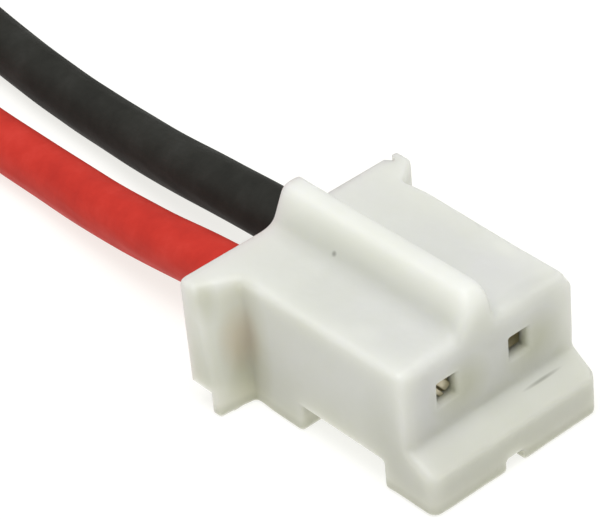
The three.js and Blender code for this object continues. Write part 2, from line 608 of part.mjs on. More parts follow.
// An open barrel round the insulation, in X and Z about the lead's axis
function barrel(inner, outer, open) {
  const from = Math.PI / 2 + open;
  const to = 2.5 * Math.PI - open;
  const outline = new THREE.Shape();
  outline.absarc(0, 0, outer, from, to, false);
  outline.absarc(0, 0, inner, to, from, true);
  return outline;
}

// The positive contact's spring ends in two leaves turned on the diagonal
function springLeaves() {
  return LEAVES.map(([x, z, thickness]) => block(-LEAF_WIDTH / 2, LEAF_WIDTH / 2, ...LEAF_SPAN,
    -thickness / 2, thickness / 2).rotateY(LEAF_TURN).translate(x, 0, z));
}

// Folded contact: spring box in front, locking tongue below it, then the two crimps on one strip
function contact(x, leaves) {
  const boxFloor = HOLE_Z - BOX_HALF_HEIGHT + SHEET / 2;
  const wireFloor = WIRE_Z - STRAND_R - 0.09;
  const gripFloor = WIRE_Z - LEAD_OD / 2 - 0.08;
  const box = cut(
    block(-BOX_HALF_WIDTH, BOX_HALF_WIDTH, FRONT_WALL + 0.03, BOX_BACK, HOLE_Z - BOX_HALF_HEIGHT,
      HOLE_Z + BOX_HALF_HEIGHT),
    block(BOX_SHEET - BOX_HALF_WIDTH, BOX_HALF_WIDTH - BOX_SHEET, 0, BOX_BACK + 1,
      HOLE_Z - BOX_HALF_HEIGHT + BOX_SHEET, HOLE_Z + BOX_HALF_HEIGHT - BOX_SHEET));
  const spring = ribbon([[BOX_BACK - 0.1, boxFloor], [2.1, 2.0], [1.4, 2.22], [0.95, 2.22],
    [0.42, 1.94]], SHEET, -SPRING_WIDTH / 2, SPRING_WIDTH / 2);
  const strip = ribbon([[BOX_BACK - 0.2, boxFloor], [BOX_BACK + 0.1, boxFloor],
    [WIRE_CRIMP[0] - 0.15, wireFloor], [WIRE_CRIMP[1] + 0.05, wireFloor],
    [GRIP_CRIMP[0] - 0.05, gripFloor], [GRIP_CRIMP[1], gripFloor]], SHEET,
    -STRIP_WIDTH / 2, STRIP_WIDTH / 2);
  const tongue = ribbon([[WINDOW_START + 0.25, boxFloor], [2.0, 1.5], [BOX_BACK - 0.4, 1.2]], SHEET,
    -TONGUE_WIDTH / 2, TONGUE_WIDTH / 2);
  const wireCrimp = along(barrel(STRAND_R + 0.05, STRAND_R + 0.16, 0.1), ...WIRE_CRIMP)
    .translate(0, 0, WIRE_Z);
  const gripCrimp = along(barrel(LEAD_OD / 2 + 0.04, LEAD_OD / 2 + 0.14, 0.7), ...GRIP_CRIMP)
    .translate(0, 0, WIRE_Z);
  return union(box, spring, strip, tongue, wireCrimp, gripCrimp, ...leaves).translate(x, 0, 0);
}

add(plug, 'plug_housing', plugHousing(), FINISH.nylon);
add(plug, 'positive_contact', contact(-PITCH / 2, springLeaves()), FINISH.brass);
add(plug, 'negative_contact', contact(PITCH / 2, []), FINISH.brass);

export default battery;
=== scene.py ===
# Looks of a single-cell lithium polymer battery pack with a two-pin crimp plug on two leads.
# The shapes are drawn in millimetres in the frame's axes and scaled to metres as they are made.
import math

import bmesh
import bpy
import numpy as np
from mathutils import Matrix, Vector
from mathutils import noise as turbulence


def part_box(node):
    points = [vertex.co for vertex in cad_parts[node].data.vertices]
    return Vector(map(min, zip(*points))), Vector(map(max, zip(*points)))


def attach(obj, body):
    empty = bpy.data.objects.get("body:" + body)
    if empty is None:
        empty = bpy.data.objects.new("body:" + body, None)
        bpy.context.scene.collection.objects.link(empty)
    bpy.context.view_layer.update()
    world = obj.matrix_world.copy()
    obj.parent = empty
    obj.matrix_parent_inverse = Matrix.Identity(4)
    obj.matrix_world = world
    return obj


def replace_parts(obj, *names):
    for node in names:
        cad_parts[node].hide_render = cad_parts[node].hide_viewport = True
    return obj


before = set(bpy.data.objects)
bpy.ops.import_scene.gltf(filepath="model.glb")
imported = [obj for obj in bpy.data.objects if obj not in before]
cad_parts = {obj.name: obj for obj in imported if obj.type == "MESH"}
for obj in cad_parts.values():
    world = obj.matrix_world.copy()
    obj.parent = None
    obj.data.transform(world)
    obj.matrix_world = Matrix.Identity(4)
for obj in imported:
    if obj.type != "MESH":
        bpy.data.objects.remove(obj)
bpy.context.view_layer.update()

MM = 0.001
ROOT = "root"


def lo(node):
    """A CAD node's lowest corner, in millimetres."""
    return Vector(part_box(node)[0]) / MM


def hi(node):
    """A CAD node's highest corner, in millimetres."""
    return Vector(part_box(node)[1]) / MM


# ---- where the plug is ----

PITCH = 2.0
RED_X = (lo("positive_contact").x + hi("positive_contact").x) / 2
BLACK_X = RED_X + PITCH
PLUG_X = (RED_X + BLACK_X) / 2
LIP_LENGTH = 0.73
PLUG_Y = lo("plug_housing").y + LIP_LENGTH      # the plug's front face


# ---- camera ----

CAMERA_AZIMUTH = math.radians(37.945)
CAMERA_HEIGHT = math.radians(36.668)
CAMERA_ROLL = math.radians(-5.694)
CAMERA_DISTANCE = 60.434
CAMERA_SENSOR = 36
CAMERA_LENS = 180
CAMERA_TARGET = Vector((PLUG_X - 1.756, PLUG_Y + 3.482, 4.065))


def make_camera():
    """The photo's viewpoint, fitted to the corners of the plug."""
    flat = math.cos(CAMERA_HEIGHT)
    back = Vector((-math.sin(CAMERA_AZIMUTH) * flat, -math.cos(CAMERA_AZIMUTH) * flat,
                   math.sin(CAMERA_HEIGHT)))
    right = (-back).cross(Vector((0, 0, 1))).normalized()
    up = right.cross(-back)
    turned_right = right * math.cos(CAMERA_ROLL) + up * math.sin(CAMERA_ROLL)
    turned_up = up * math.cos(CAMERA_ROLL) - right * math.sin(CAMERA_ROLL)
    data = bpy.data.cameras.new("camera")
    data.sensor_width = CAMERA_SENSOR
    data.lens = CAMERA_LENS
    data.clip_start = 1 * MM
    data.clip_end = 2
    camera = bpy.data.objects.new("camera", data)
    axes = Matrix((turned_right, turned_up, back)).transposed().to_4x4()
    camera.matrix_world = Matrix.Translation((CAMERA_TARGET + back * CAMERA_DISTANCE) * MM) @ axes
    bpy.context.scene.collection.objects.link(camera)
    bpy.context.scene.camera = camera


make_camera()


# ---- mesh helpers ----

def link(obj):
    bpy.context.scene.collection.objects.link(obj)
    return obj


def new_object(name, points, faces, weld=False):
    """An object from points in millimetres, with its faces turned outwards."""
    mesh = bpy.data.meshes.new(name)
    mesh.from_pydata([tuple(point) for point in points], [], faces)
    bm = bmesh.new()
    bm.from_mesh(mesh)
    if weld:
        bmesh.ops.remove_doubles(bm, verts=bm.verts, dist=1e-4)
    bmesh.ops.recalc_face_normals(bm, faces=bm.faces)
    bm.to_mesh(mesh)
    bm.free()
    return link(bpy.data.objects.new(name, mesh))


def smooth(obj, sharp):
    """Smooth shading, with edges over the sharp angle, in degrees, left crisp."""
    obj.data.shade_smooth()
    obj.data.set_sharp_from_angle(angle=math.radians(sharp))


def to_metres(obj):
    obj.data.transform(Matrix.Scale(MM, 4))
    return obj


def paint(obj, made):
    obj.data.materials.clear()
    obj.data.materials.append(made)
    return obj


def skin(name, shape, made, sharp=35):
    """A finished object in metres from points and faces, smooth up to the sharp angle."""
    obj = new_object(name, *shape, True)
    smooth(obj, sharp)
    return to_metres(paint(obj, made))


def apply_modifiers(obj):
    graph = bpy.context.evaluated_depsgraph_get()
    mesh = bpy.data.meshes.new_from_object(obj.evaluated_get(graph))
    obj.modifiers.clear()
    old = obj.data
    obj.data = mesh
    bpy.data.meshes.remove(old)
    return obj


def box_mesh(x0, x1, y0, y1, z0, z1):
    """A box as points and faces, which is how every shape here is passed on."""
    points = [(x, y, z) for x in (x0, x1) for y in (y0, y1) for z in (z0, z1)]
    faces = [(0, 1, 3, 2), (4, 6, 7, 5), (0, 4, 5, 1), (2, 3, 7, 6), (0, 2, 6, 4), (1, 5, 7, 3)]
    return points, faces


def prism(outline, axis, start, end):
    """An outline drawn in the other two axes, in X, Y, Z order, drawn out along axis 0, 1 or 2."""
    count = len(outline)
    points = []
    for place in (start, end):
        for a, b in outline:
            point = [a, b]
            point.insert(axis, place)
            points.append(tuple(point))
    faces = [tuple(range(count)), tuple(range(2 * count - 1, count - 1, -1))]
    faces += [(i, (i + 1) % count, (i + 1) % count + count, i + count) for i in range(count)]
    return points, faces


def hull(points):
    bm = bmesh.new()
    for point in points:
        bm.verts.new(point)
    bmesh.ops.convex_hull(bm, input=bm.verts)
    bmesh.ops.delete(bm, geom=[v for v in bm.verts if not v.link_faces], context="VERTS")
    bm.verts.index_update()
    shape = [v.co[:] for v in bm.verts], [tuple(v.index for v in f.verts) for f in bm.faces]
    bm.free()
    return shape


def joined(name, shapes):
    """One object of several shapes, which may run into each other."""
    points, faces = [], []
    for more_points, more_faces in shapes:
        base = len(points)
        points += list(more_points)
        faces += [tuple(base + i for i in face) for face in more_faces]
    return new_object(name, points, faces)


def carve(obj, cutters):
    """Cuts each closed cutter shape out of the object."""
    for shape in cutters:
        tool = joined("cutter", [shape])
        change = obj.modifiers.new("cut", "BOOLEAN")
        change.operation = "DIFFERENCE"
        change.solver = "EXACT"
        change.object = tool
        apply_modifiers(obj)
        bpy.data.objects.remove(tool)
    return obj


def remesh(obj, voxel):
    """Merges everything in the object into one skin of evenly sized faces."""
    change = obj.modifiers.new("remesh", "REMESH")
    change.mode = "VOXEL"
    change.voxel_size = voxel
    return apply_modifiers(obj)


def coordinates(mesh):
    flat = np.zeros(len(mesh.vertices) * 3)
    mesh.vertices.foreach_get("co", flat)
    return flat.reshape(-1, 3)


def set_coordinates(mesh, points):
    mesh.vertices.foreach_set("co", points.ravel())
    mesh.update()


def relax(mesh, rounds, weight):
    """Moves each point towards the mean of its neighbours; weight gives how far, by position."""
    edges = np.zeros(len(mesh.edges) * 2, int)
    mesh.edges.foreach_get("vertices", edges)
    a, b = edges.reshape(-1, 2).T
    points = coordinates(mesh)
    count = len(points)
    degree = np.bincount(a, minlength=count) + np.bincount(b, minlength=count)
    share = weight(points)[:, None]
    for _ in range(rounds):
        total = np.empty_like(points)
        for axis in range(3):
            total[:, axis] = (np.bincount(a, points[b, axis], count)
                              + np.bincount(b, points[a, axis], count))
        points = points + share * (total / degree[:, None] - points)
    set_coordinates(mesh, points)


def step(value, start, end):
    """0 below start, 1 above end, and smooth between."""
    t = np.clip((value - start) / (end - start), 0, 1)
    return t * t * (3 - 2 * t)


# ---- node materials ----

def new_material(name, colour, roughness, metallic=0.0, **sockets):
    made = bpy.data.materials.new(name)
    made.use_nodes = True
    shader = made.node_tree.nodes["Principled BSDF"]
    shader.inputs["Base Color"].default_value = (*colour, 1)
    shader.inputs["Roughness"].default_value = roughness
    shader.inputs["Metallic"].default_value = metallic
    for socket, value in sockets.items():
        shader.inputs[socket.replace("_", " ")].default_value = value
    return made


def node(made, kind, **settings):
    """A new node; a setting is one of its properties or else an input, with _ for a space."""
    new = made.node_tree.nodes.new(kind)
    for key, value in settings.items():
        if hasattr(new, key):
            setattr(new, key, value)
        else:
            new.inputs[key.replace("_", " ")].default_value = value
    return new


def wire(made, source, output, target, socket):
    made.node_tree.links.new(source.outputs[output], target.inputs[socket])


def shader_of(made):
    return made.node_tree.nodes["Principled BSDF"]


def mapped(made, scale, location=(0, 0, 0)):
    """The row frame's coordinates, scaled and moved."""
    place = node(made, "ShaderNodeTexCoord")
    squeeze = node(made, "ShaderNodeMapping", Scale=scale, Location=location)
    wire(made, place, "Object", squeeze, "Vector")
    return squeeze


def noise(made, scale, detail, roughness, stretch=(1, 1, 1)):
    """Noise in the row frame, with scale as features per metre."""
    squeeze = mapped(made, stretch)
    texture = node(made, "ShaderNodeTexNoise", Scale=scale, Detail=detail, Roughness=roughness)
    wire(made, squeeze, "Vector", texture, "Vector")
    return texture


def ramp(made, source, output, stops):
    """A colour ramp; stops are (place, colour)."""
    chart = node(made, "ShaderNodeValToRGB")
    points = chart.color_ramp.elements
    while len(points) < len(stops):
        points.new(0.5)
    for point, (place, colour) in zip(points, stops):
        point.position = place
        point.color = (*colour, 1)
    wire(made, source, output, chart, "Fac")
    return chart


def patch(made, centre, reach):
    """1 at a place in the row frame, falling to 0 at reach from it, both in millimetres."""
    squeeze = mapped(made, [1 / (r * MM) for r in reach], [-c / r for c, r in zip(centre, reach)])
    ball = node(made, "ShaderNodeTexGradient", gradient_type="SPHERICAL")
    wire(made, squeeze, "Vector", ball, "Vector")
    return ball


def rise(made, low, high):
    """0 below one height and 1 above another, in millimetres."""
    place = node(made, "ShaderNodeTexCoord")
    parts = node(made, "ShaderNodeSeparateXYZ")
    chart = node(made, "ShaderNodeMapRange", interpolation_type="SMOOTHSTEP", From_Min=low * MM,
                 From_Max=high * MM)
    wire(made, place, "Object", parts, "Vector")
    wire(made, parts, "Z", chart, "Value")
    return chart


MIX_A, MIX_B, MIX_RESULT = 6, 7, 2     # the mix node's colour sockets


def multiplied(made, first, output, second):
    """A colour multiplied by a ramp's; the result is at MIX_RESULT."""
    mix = node(made, "ShaderNodeMix", data_type="RGBA", blend_type="MULTIPLY", Factor=1)
    wire(made, first, output, mix, MIX_A)
    wire(made, second, "Color", mix, MIX_B)
    return mix


def rough_from(made, texture, low, high):
    """Roughness between low and high, following a noise."""
    chart = node(made, "ShaderNodeMapRange", From_Min=0.3, From_Max=0.7, To_Min=low, To_Max=high)
    wire(made, texture, "Fac", chart, "Value")
    wire(made, chart, "Result", shader_of(made), "Roughness")


def bump_from(made, *layers):
    """Bumps from one or more (texture, depth in metres), one on top of the other."""
    last = None
    for texture, depth in layers:
        bump = node(made, "ShaderNodeBump", Strength=1.0, Distance=depth)
        wire(made, texture, "Fac", bump, "Height")
        if last:
            wire(made, last, "Normal", bump, "Normal")
        last = bump
    wire(made, last, "Normal", shader_of(made), "Normal")


def cloudy(made, scale, detail, stops, roughness=0.6):
    """Gives a material its colour from a cloudy noise."""
    tone = ramp(made, noise(made, scale, detail, roughness), "Fac", stops)
    wire(made, tone, "Color", shader_of(made), "Base Color")


def insulation_material(name, colour, dark, bright, roughness):
    """Extruded soft insulation: faint streaks along the lead, cloudy tone and a fine grain."""
    made = new_material(name, colour, roughness, Specular_IOR_Level=0.12)
    cloudy(made, 900, 4, [(0.3, dark), (0.52, colour), (0.72, bright)])
    grain = noise(made, 9000, 3, 0.6)
    streak = noise(made, 4200, 2, 0.5, (1, 0.06, 1))
    rough_from(made, streak, roughness - 0.08, roughness + 0.1)
    bump_from(made, (streak, 6e-6), (grain, 5e-6))
    return made


# ---- leads: made first, with the camera ----

LEAD_OD = 1.3
BORE_R = 0.33
LEAD_SIDES = 32
END_SHARE = 0.95       # of its radius, at a lead's very ends
# The same points as the routes of the CAD tubes, from the contact to the board, in millimetres
# from the plug's origin.
RED_ROUTE = [
    (-1, 4.35, 1.6), (-1, 5.74, 1.6), (-1, 7.5, 1.46), (-1, 9.5, 1.21), (-0.9, 11.5, 0.95),
    (-0.73, 13.8, 0.73), (-0.68, 15.8, 0.69), (-0.6, 18, 0.68), (-0.35, 20.8, 0.68),
    (0.1, 24, 0.68), (0.75, 27.4, 0.68), (1.55, 30.8, 0.68), (2.45, 34.2, 0.68), (3.35, 37.6, 0.68),
    (4.15, 41, 0.68), (4.72, 44.2, 0.8), (4.96, 47, 1.15), (5, 49.8, 1.8), (5, 52.4, 2.4),
    (5, 54.4, 2.66), (5, 56.6, 2.69),
]
BLACK_ROUTE = [
    (1, 4.35, 1.6), (1, 5.74, 1.6), (1, 7.5, 1.61), (1.07, 9.5, 1.43), (1.3, 12, 1.02),
    (1.53, 14.1, 0.75), (1.62, 15.7, 0.69), (1.74, 17.4, 0.68), (1.94, 19.3, 0.68),
    (2.35, 22, 0.68), (2.98, 25, 0.68), (3.82, 28.4, 0.68), (4.72, 31.8, 0.68), (5.55, 35.2, 0.68),
    (6.25, 38.6, 0.68), (6.75, 42, 0.7), (6.95, 45, 0.88), (7, 48, 1.36), (7, 51, 2.1),
    (7, 53.6, 2.58), (7, 55.2, 2.68), (7, 56.6, 2.69),
]


def between(p, q, start, end, t):
    """On the straight way from p, at start, to q, at end."""
    return p * ((end - t) / (end - start)) + q * ((t - start) / (end - start))


def smooth_line(points, per_span):
    """A centripetal Catmull-Rom curve through the points, in millimetres."""
    known = [Vector(p) for p in points]
    known = [2 * known[0] - known[1]] + known + [2 * known[-1] - known[-2]]
    line = []
    for i in range(1, len(known) - 2):
        p0, p1, p2, p3 = known[i - 1:i + 3]
        t0 = 0
        t1 = t0 + (p1 - p0).length ** 0.5
        t2 = t1 + (p2 - p1).length ** 0.5
        t3 = t2 + (p3 - p2).length ** 0.5
        for k in range(per_span):
            t = t1 + (t2 - t1) * k / per_span
            a1 = between(p0, p1, t0, t1, t)
            a2 = between(p1, p2, t1, t2, t)
            a3 = between(p2, p3, t2, t3, t)
            line.append(between(between(a1, a2, t0, t2, t), between(a2, a3, t1, t3, t), t1, t2, t))
    line.append(known[-2].copy())
    return line


def frames_along(line):
    """Each point of a line with two directions square to it that turn as little as possible."""
    frames = []
    normal = Vector((0, 0, 1))
    for i, point in enumerate(line):
        before = line[max(i - 1, 0)]
        after = line[min(i + 1, len(line) - 1)]
        tangent = (after - before).normalized()
        normal = (normal - tangent * normal.dot(tangent)).normalized()
        frames.append((point, normal, tangent.cross(normal)))
    return frames


def loft(rings, ends=True):
    """Faces between rings of equally many points; the ends are capped, or join up if not ends."""
    sides = len(rings[0])
    points = [point for ring in rings for point in ring]
    spans = len(rings) - 1 if ends else len(rings)
    faces = []
    for i in range(spans):
        base, onward = i * sides, (i + 1) % len(rings) * sides
        for k in range(sides):
            after = (k + 1) % sides
            faces.append((base + k, base + after, onward + after, onward + k))
    if ends:
        faces.append(tuple(range(sides)))
        faces.append(tuple(range(len(points) - sides, len(points))))
    return points, faces


def circle(middle, radius, normal, side, count):
    turns = [2 * math.pi * k / count for k in range(count)]
    return [middle + radius * (math.cos(t) * normal + math.sin(t) * side) for t in turns]


def make_insulation(name, route, made):
    """A hollow tube, a little uneven and with softly broken ends, and its middle line."""
    line = smooth_line([Vector((x + PLUG_X, y + PLUG_Y, z)) for x, y, z in route], 14)
    last = len(line) - 1
    radius = LEAD_OD / 2
    outside = []
    for i in range(last + 1):
        uneven = 0.004 * math.sin(i * 0.13) + 0.003 * math.sin(i * 0.41 + 1)
        outside.append((i, radius * (1 + uneven)))
    outside[0] = (0, radius * END_SHARE)
    outside[-1] = (last, radius * END_SHARE)
    inside = [(i, BORE_R) for i in range(last, -1, -1)]
    frames = frames_along(line)
    shape = loft([circle(frames[i][0], r, *frames[i][1:], LEAD_SIDES) for i, r in outside + inside],
                 False)
    return skin(name, shape, made, 50), line


red_insulation = insulation_material(
    "red_soft_insulation", (0.55, 0.036, 0.025), (0.47, 0.029, 0.021), (0.61, 0.049, 0.036), 0.55)
black_insulation = insulation_material(
    "black_soft_insulation", (0.026, 0.026, 0.023), (0.018, 0.018, 0.016), (0.036, 0.036, 0.033),
    0.66)
red_lead, red_line = make_insulation("red_lead", RED_ROUTE, red_insulation)
black_lead, black_line = make_insulation("black_lead", BLACK_ROUTE, black_insulation)


# ---- plug housing ----
# Its places are in millimetres from the middle of the front face's foot.

BODY_HALF = 2.28
RIGHT_SIDE = BODY_HALF + 0.02
PLUG_LENGTH = 5.74
PLUG_TOP = 3.2
LIP_CHAMFER = 0.12
LIP_HEIGHT = 0.95      # of the lip's front edge
LIP_ROOT = 1.33        # where the lip's slope meets the front face
FOOT_BACK = 0.71       # of the front foot, which the lip stands on
UNDERSIDE = 0.71       # how high the body stands between its feet
REAR_FOOT_FRONT = 3.29
REAR_FOOT_BACK = 5.08
REAR_STEP = 0.57
BLANK_END = 6.4        # past the wire end, which is cut off after the rounding
EAR_ROOT = 4.74
EAR_OVERLAP = 0.2      # how deep an ear starts inside the body
# Each ear's side, its reach, and how far its front face slants back at its bottom and its top.
EARS = ((-1, 3.17, 0.16, 0.6), (1, 2.94, 0.6, 0.6))
# In X and Z: the ridge, the fillet along its left foot and the notch in the lip.
RIDGE = ((-0.6, 2.9), (0.34, 2.9), (0.34, 3.2), (0.27, 3.32), (0.24, 3.98), (0.19, 4.04),
         (-0.2, 4.04), (-0.28, 3.97), (-0.54, 3.4), (-0.6, 3.3))
RIDGE_FILLET = ((-0.85, 3.15), (-0.4, 3.15), (-0.4, 3.5), (-0.55, 3.38), (-0.63, 3.28), (-0.85, 3.2))
LIP_NOTCH = ((-0.26, -1), (0.26, -1), (0.26, 0.22), (0.2, 0.3), (-0.26, 0.3))
# In Y and Z, what is cut off the ridge's nose. In X and Y, the nick in the right ear.
RIDGE_NOSE = ((-0.1, 3.3), (0.02, 3.4), (0.06, 3.65), (0.16, 3.88), (0.4, 4.06), (0.4, 4.2),
              (-0.1, 4.2))
EAR_NICK = ((2.44, 5.9), (2.66, 5.56), (2.72, 5.58), (2.84, 5.9))
NICK_FOOT = 2.2
WIRE_END_SLANT = 0.05  # how much shorter the left end of the wire end is
HOLE_Z = 2.24
HOLE = 0.52
MOUTH = 0.36           # half the width of a pin hole's flared mouth
MOUTH_CORNER = 0.06
HOLE_DEPTH = 0.45
HOLE_SHIFT = -0.08     # the photo's holes lie left of the contacts' middle
# What is hollow behind a pin hole: half its width, then from and to in Y, then in Z.
HOLLOWS = (
    (0.81, 0.3, 3.6, 1.6, 2.88),       # chamber of the spring box
    (0.8, 2.9, 3.6, 1.1, 2),           # step down behind it
    (0.805, 3.4, 6.5, 0.78, 2.75),     # the lead's way in
    (0.5, 1.3, 2.9, -1, 1.7),          # window for the locking tongue
)
VOXEL = 0.045
ROUNDS = 22            # of smoothing
SWELL = 0.028          # gives back what the smoothing takes
ASIDE, PAST_END = 5, 8  # beyond the sides and the wire end, for what cuts right across


def at_plug(shape):
    """A shape moved from the plug's origin to its place in the frame."""
    points, faces = shape
    return [(x + PLUG_X, y + PLUG_Y, z) for x, y, z in points], faces


def from_plug(points):
    """The X, Y and Z of each point, from the plug's origin."""
    return (points - np.array((PLUG_X, PLUG_Y, 0))).T


def carved(shape, cutters):
    """A shape with others cut out of it, as points and faces again."""
    obj = carve(joined("blank", [shape]), cutters)
    result = ([v.co[:] for v in obj.data.vertices], [tuple(p.vertices) for p in obj.data.polygons])
    bpy.data.objects.remove(obj)
    return result


def ear(side, reach, low_slant, top_slant):
    root = BODY_HALF - EAR_OVERLAP
    return hull([(side * x, y, z) for x, y, z in (
        (root, EAR_ROOT, 0), (root, BLANK_END, 0), (root, EAR_ROOT, PLUG_TOP),
        (root, BLANK_END, PLUG_TOP), (reach, EAR_ROOT + low_slant, 0), (reach, BLANK_END, 0),
        (reach, EAR_ROOT + top_slant, PLUG_TOP), (reach, BLANK_END, PLUG_TOP))])


def lip_corner(side, edge, front):
    """A wedge that cuts off a corner of the lip's front edge; edge is that side's distance."""
    return prism([(side * (edge - LIP_CHAMFER - 1), front - 1),
                  (side * (edge + 1), front + LIP_CHAMFER + 1), (side * (edge + 1), front - 1)],
                 2, -1, 1.6)


def housing_blank():
    """Body with lip and feet, two ears and the ridge, each cut to shape and then merged."""
    lip_front = SWELL - LIP_LENGTH
    body = prism([
        (lip_front, 0), (FOOT_BACK, 0), (FOOT_BACK, UNDERSIDE), (REAR_FOOT_FRONT, UNDERSIDE),
        (REAR_FOOT_FRONT, 0), (REAR_FOOT_BACK, 0), (REAR_FOOT_BACK, REAR_STEP),
        (BLANK_END, REAR_STEP), (BLANK_END, PLUG_TOP), (0.16, PLUG_TOP),
        (SWELL + 0.04, PLUG_TOP - 0.04), (SWELL, PLUG_TOP - 0.14), (SWELL, LIP_ROOT),
        (lip_front, LIP_HEIGHT)], 0, -BODY_HALF, RIGHT_SIDE)
    cuts = [prism(LIP_NOTCH, 1, -2, 0.75), lip_corner(-1, BODY_HALF, lip_front),
            lip_corner(1, RIGHT_SIDE, lip_front)]
    pieces = [carved(body, cuts),
              carved(prism(RIDGE, 1, SWELL, BLANK_END), [prism(RIDGE_NOSE, 0, -1, 1)]),
              prism(RIDGE_FILLET, 1, 0.2, BLANK_END)]
    pieces += [ear(*measures) for measures in EARS]
    return joined("plug_housing_moulding", [at_plug(piece) for piece in pieces])


def housing_softness(points):
    """How much each part of the moulding is rounded: most at the ridge and at the ears' roots."""
    x, y, z = from_plug(points)
    aside = np.abs(x)
    near_ridge = 1 - step(aside, 1.5, 1.9)
    at_ears = step(y, 4.4, 4.8)
    on_ears = step(aside, 2.6, 2.9)
    soft = np.full(len(points), 0.06)
    soft += 0.4 * step(z, 2.85, 3.1) * near_ridge
    soft += 0.3 * step(y, 4.2, 4.6) * (1 - step(aside, 2.5, 2.8)) * step(aside, 2.0, 2.2)
    soft += 0.2 * at_ears * on_ears
    soft += 0.3 * (1 - step(y, 0.1, 0.5)) * step(z, 2.6, 2.9) * near_ridge
    soft += 0.12 * (1 - step(y, 0.3, 0.6)) * (1 - step(z, 1.3, 1.9)) * step(aside, 0.5, 0.9)
    soft += 0.14 * (1 - step(y, 0.4, 0.8)) * (1 - step(x, -2.1, -1.7))
    soft += 0.22 * (1 - step(y, 5.1, 5.4)) * step(z, 2.85, 3.05) * (1 - step(x, -2.2, -2.05))
    soft -= 0.2 * (1 - step(z, 0.3, 0.6)) * at_ears * on_ears
    return np.clip(soft, 0, 0.9)


def swell(mesh, amount):
    """Moves the surface out along its normals."""
    normals = np.zeros(len(mesh.vertices) * 3)
    mesh.vertices.foreach_get("normal", normals)
    set_coordinates(mesh, coordinates(mesh) + amount * normals.reshape(-1, 3))


def lean_out(mesh):
    """Moves the right side out, most at its front below the top edge, as the photo shows it."""
    points = coordinates(mesh)
    x, y, z = from_plug(points)
    front = 1 - step(y, 1.0, 4.5)
    below_top = 1 - step(z, 2.85, 3.15)
    above_lip = step(z, 0.9, 1.4)
    out = 0.06 * (1 - front) + front * below_top * (0.07 + 0.06 * above_lip)
    points[:, 0] += out * step(x, 1.7, 2.2) * (1 - step(y, 4.5, 5.0))
    set_coordinates(mesh, points)


def rounded_ring(x0, x1, y0, y1, radius, corner, side):
    """Points round a rounded rectangle: corner steps in each corner, side steps on each side."""
    centres = ((x1 - radius, y0 + radius, -90), (x1 - radius, y1 - radius, 0),
               (x0 + radius, y1 - radius, 90), (x0 + radius, y0 + radius, 180))

    def on_corner(which, degrees):
        cx, cy, start = centres[which]
        angle = math.radians(start + degrees)
        return cx + radius * math.cos(angle), cy + radius * math.sin(angle)

    ring = []
    for i in range(4):
        ring += [on_corner(i, 90 * k / corner) for k in range(corner + 1)]
        a, b = ring[-1], on_corner((i + 1) % 4, 0)
        ring += [(a[0] + (b[0] - a[0]) * k / side, a[1] + (b[1] - a[1]) * k / side)
                 for k in range(1, side)]
    return ring


def flared_hole(x):
    """A square pin hole whose mouth opens out in a quarter round."""
    flare = MOUTH - HOLE / 2
    stations = [(-0.1, MOUTH)]
    for degrees in range(0, 91, 10):
        turn = math.radians(degrees)
        stations.append((flare - flare * math.cos(turn), MOUTH - flare * math.sin(turn)))
    stations.append((HOLE_DEPTH, HOLE / 2))
    return loft([[(x + HOLE_SHIFT + a, y, HOLE_Z + b)
                  for a, b in rounded_ring(-half, half, -half, half, MOUTH_CORNER, 3, 2)]
                 for y, half in stations])


def make_housing(made):
    """Rounds the moulding as one solid, then cuts its straight ends and everything hollow."""
    blank = remesh(housing_blank(), VOXEL)
    relax(blank.data, ROUNDS, housing_softness)
    swell(blank.data, SWELL)
    lean_out(blank.data)
    cutters = [
        prism([(-ASIDE, PLUG_LENGTH - WIRE_END_SLANT), (ASIDE, PLUG_LENGTH), (ASIDE, PAST_END),
               (-ASIDE, PAST_END)], 2, -1, 6),
        box_mesh(-ASIDE, ASIDE, REAR_FOOT_BACK, PAST_END, -1, REAR_STEP),
        prism(EAR_NICK, 2, NICK_FOOT, 4),
        box_mesh(-ASIDE, ASIDE, -2, PAST_END, -1, 0)]
    for x in (-PITCH / 2, PITCH / 2):
        cutters.append(flared_hole(x))
        cutters += [box_mesh(x - half, x + half, *spans) for half, *spans in HOLLOWS]
    carve(blank, [at_plug(cutter) for cutter in cutters])
    smooth(blank, 32)
    return to_metres(paint(blank, made))


# Marks on the nylon, with painted shade and painted light among them: place from the plug's origin,
# reach in X, Y and Z, and tint.
NYLON_MARKS_AND_PAINTED_LIGHT = (
    ((-2.45, 4.7, 1.6), (0.6, 0.7, 2.2), (0.88, 0.87, 0.78)),  # shade at the left ear's root
    ((-2.5, 4.75, 1.75), (0.6, 0.45, 0.9), (0.96, 0.88, 0.84)),  # painted glow of the red lead's light through the nylon
    ((-0.56, 3.83, 3.38), (0.085, 0.085, 0.085), (0.52, 0.52, 0.5)),  # speck by the ridge
    ((1.28, -0.23, 1.2), (0.62, 0.05, 0.1), (0.62, 0.62, 0.6)),  # painted shade along a crease on the lip
    ((-1.72, 1.57, 3.2), (0.3, 0.45, 0.3), (1.05, 1.05, 1.04)),  # two pale spots on the top
    ((2.06, 1.53, 3.2), (0.25, 0.45, 0.3), (1.05, 1.05, 1.04)),
    ((1.45, 0.05, 3.2), (1.3, 0.5, 0.3), (0.88, 0.88, 0.87)),  # painted shade on the front edge, right of the ridge
    ((0.3, -0.3, 1.2), (2.8, 0.5, 0.35), (1.06, 1.06, 1.07)),  # painted light on the lip's slope
    ((-3.04, 5.12, 2.9), (0.3, 0.5, 0.7), (0.88, 0.88, 0.84)),  # painted shade on the left ear's top corner
    ((-2.28, 0.45, 1.6), (0.3, 0.9, 1.2), (0.93, 0.93, 0.91)),  # painted shade on the left side's front
    ((-0.75, 0.0, 2.1), (0.9, 0.5, 0.75), (0.84, 0.84, 0.74)),  # painted shade over the hollows behind the pin holes
    ((1.25, 0.0, 2.1), (0.9, 0.5, 0.75), (0.84, 0.84, 0.74)),
)


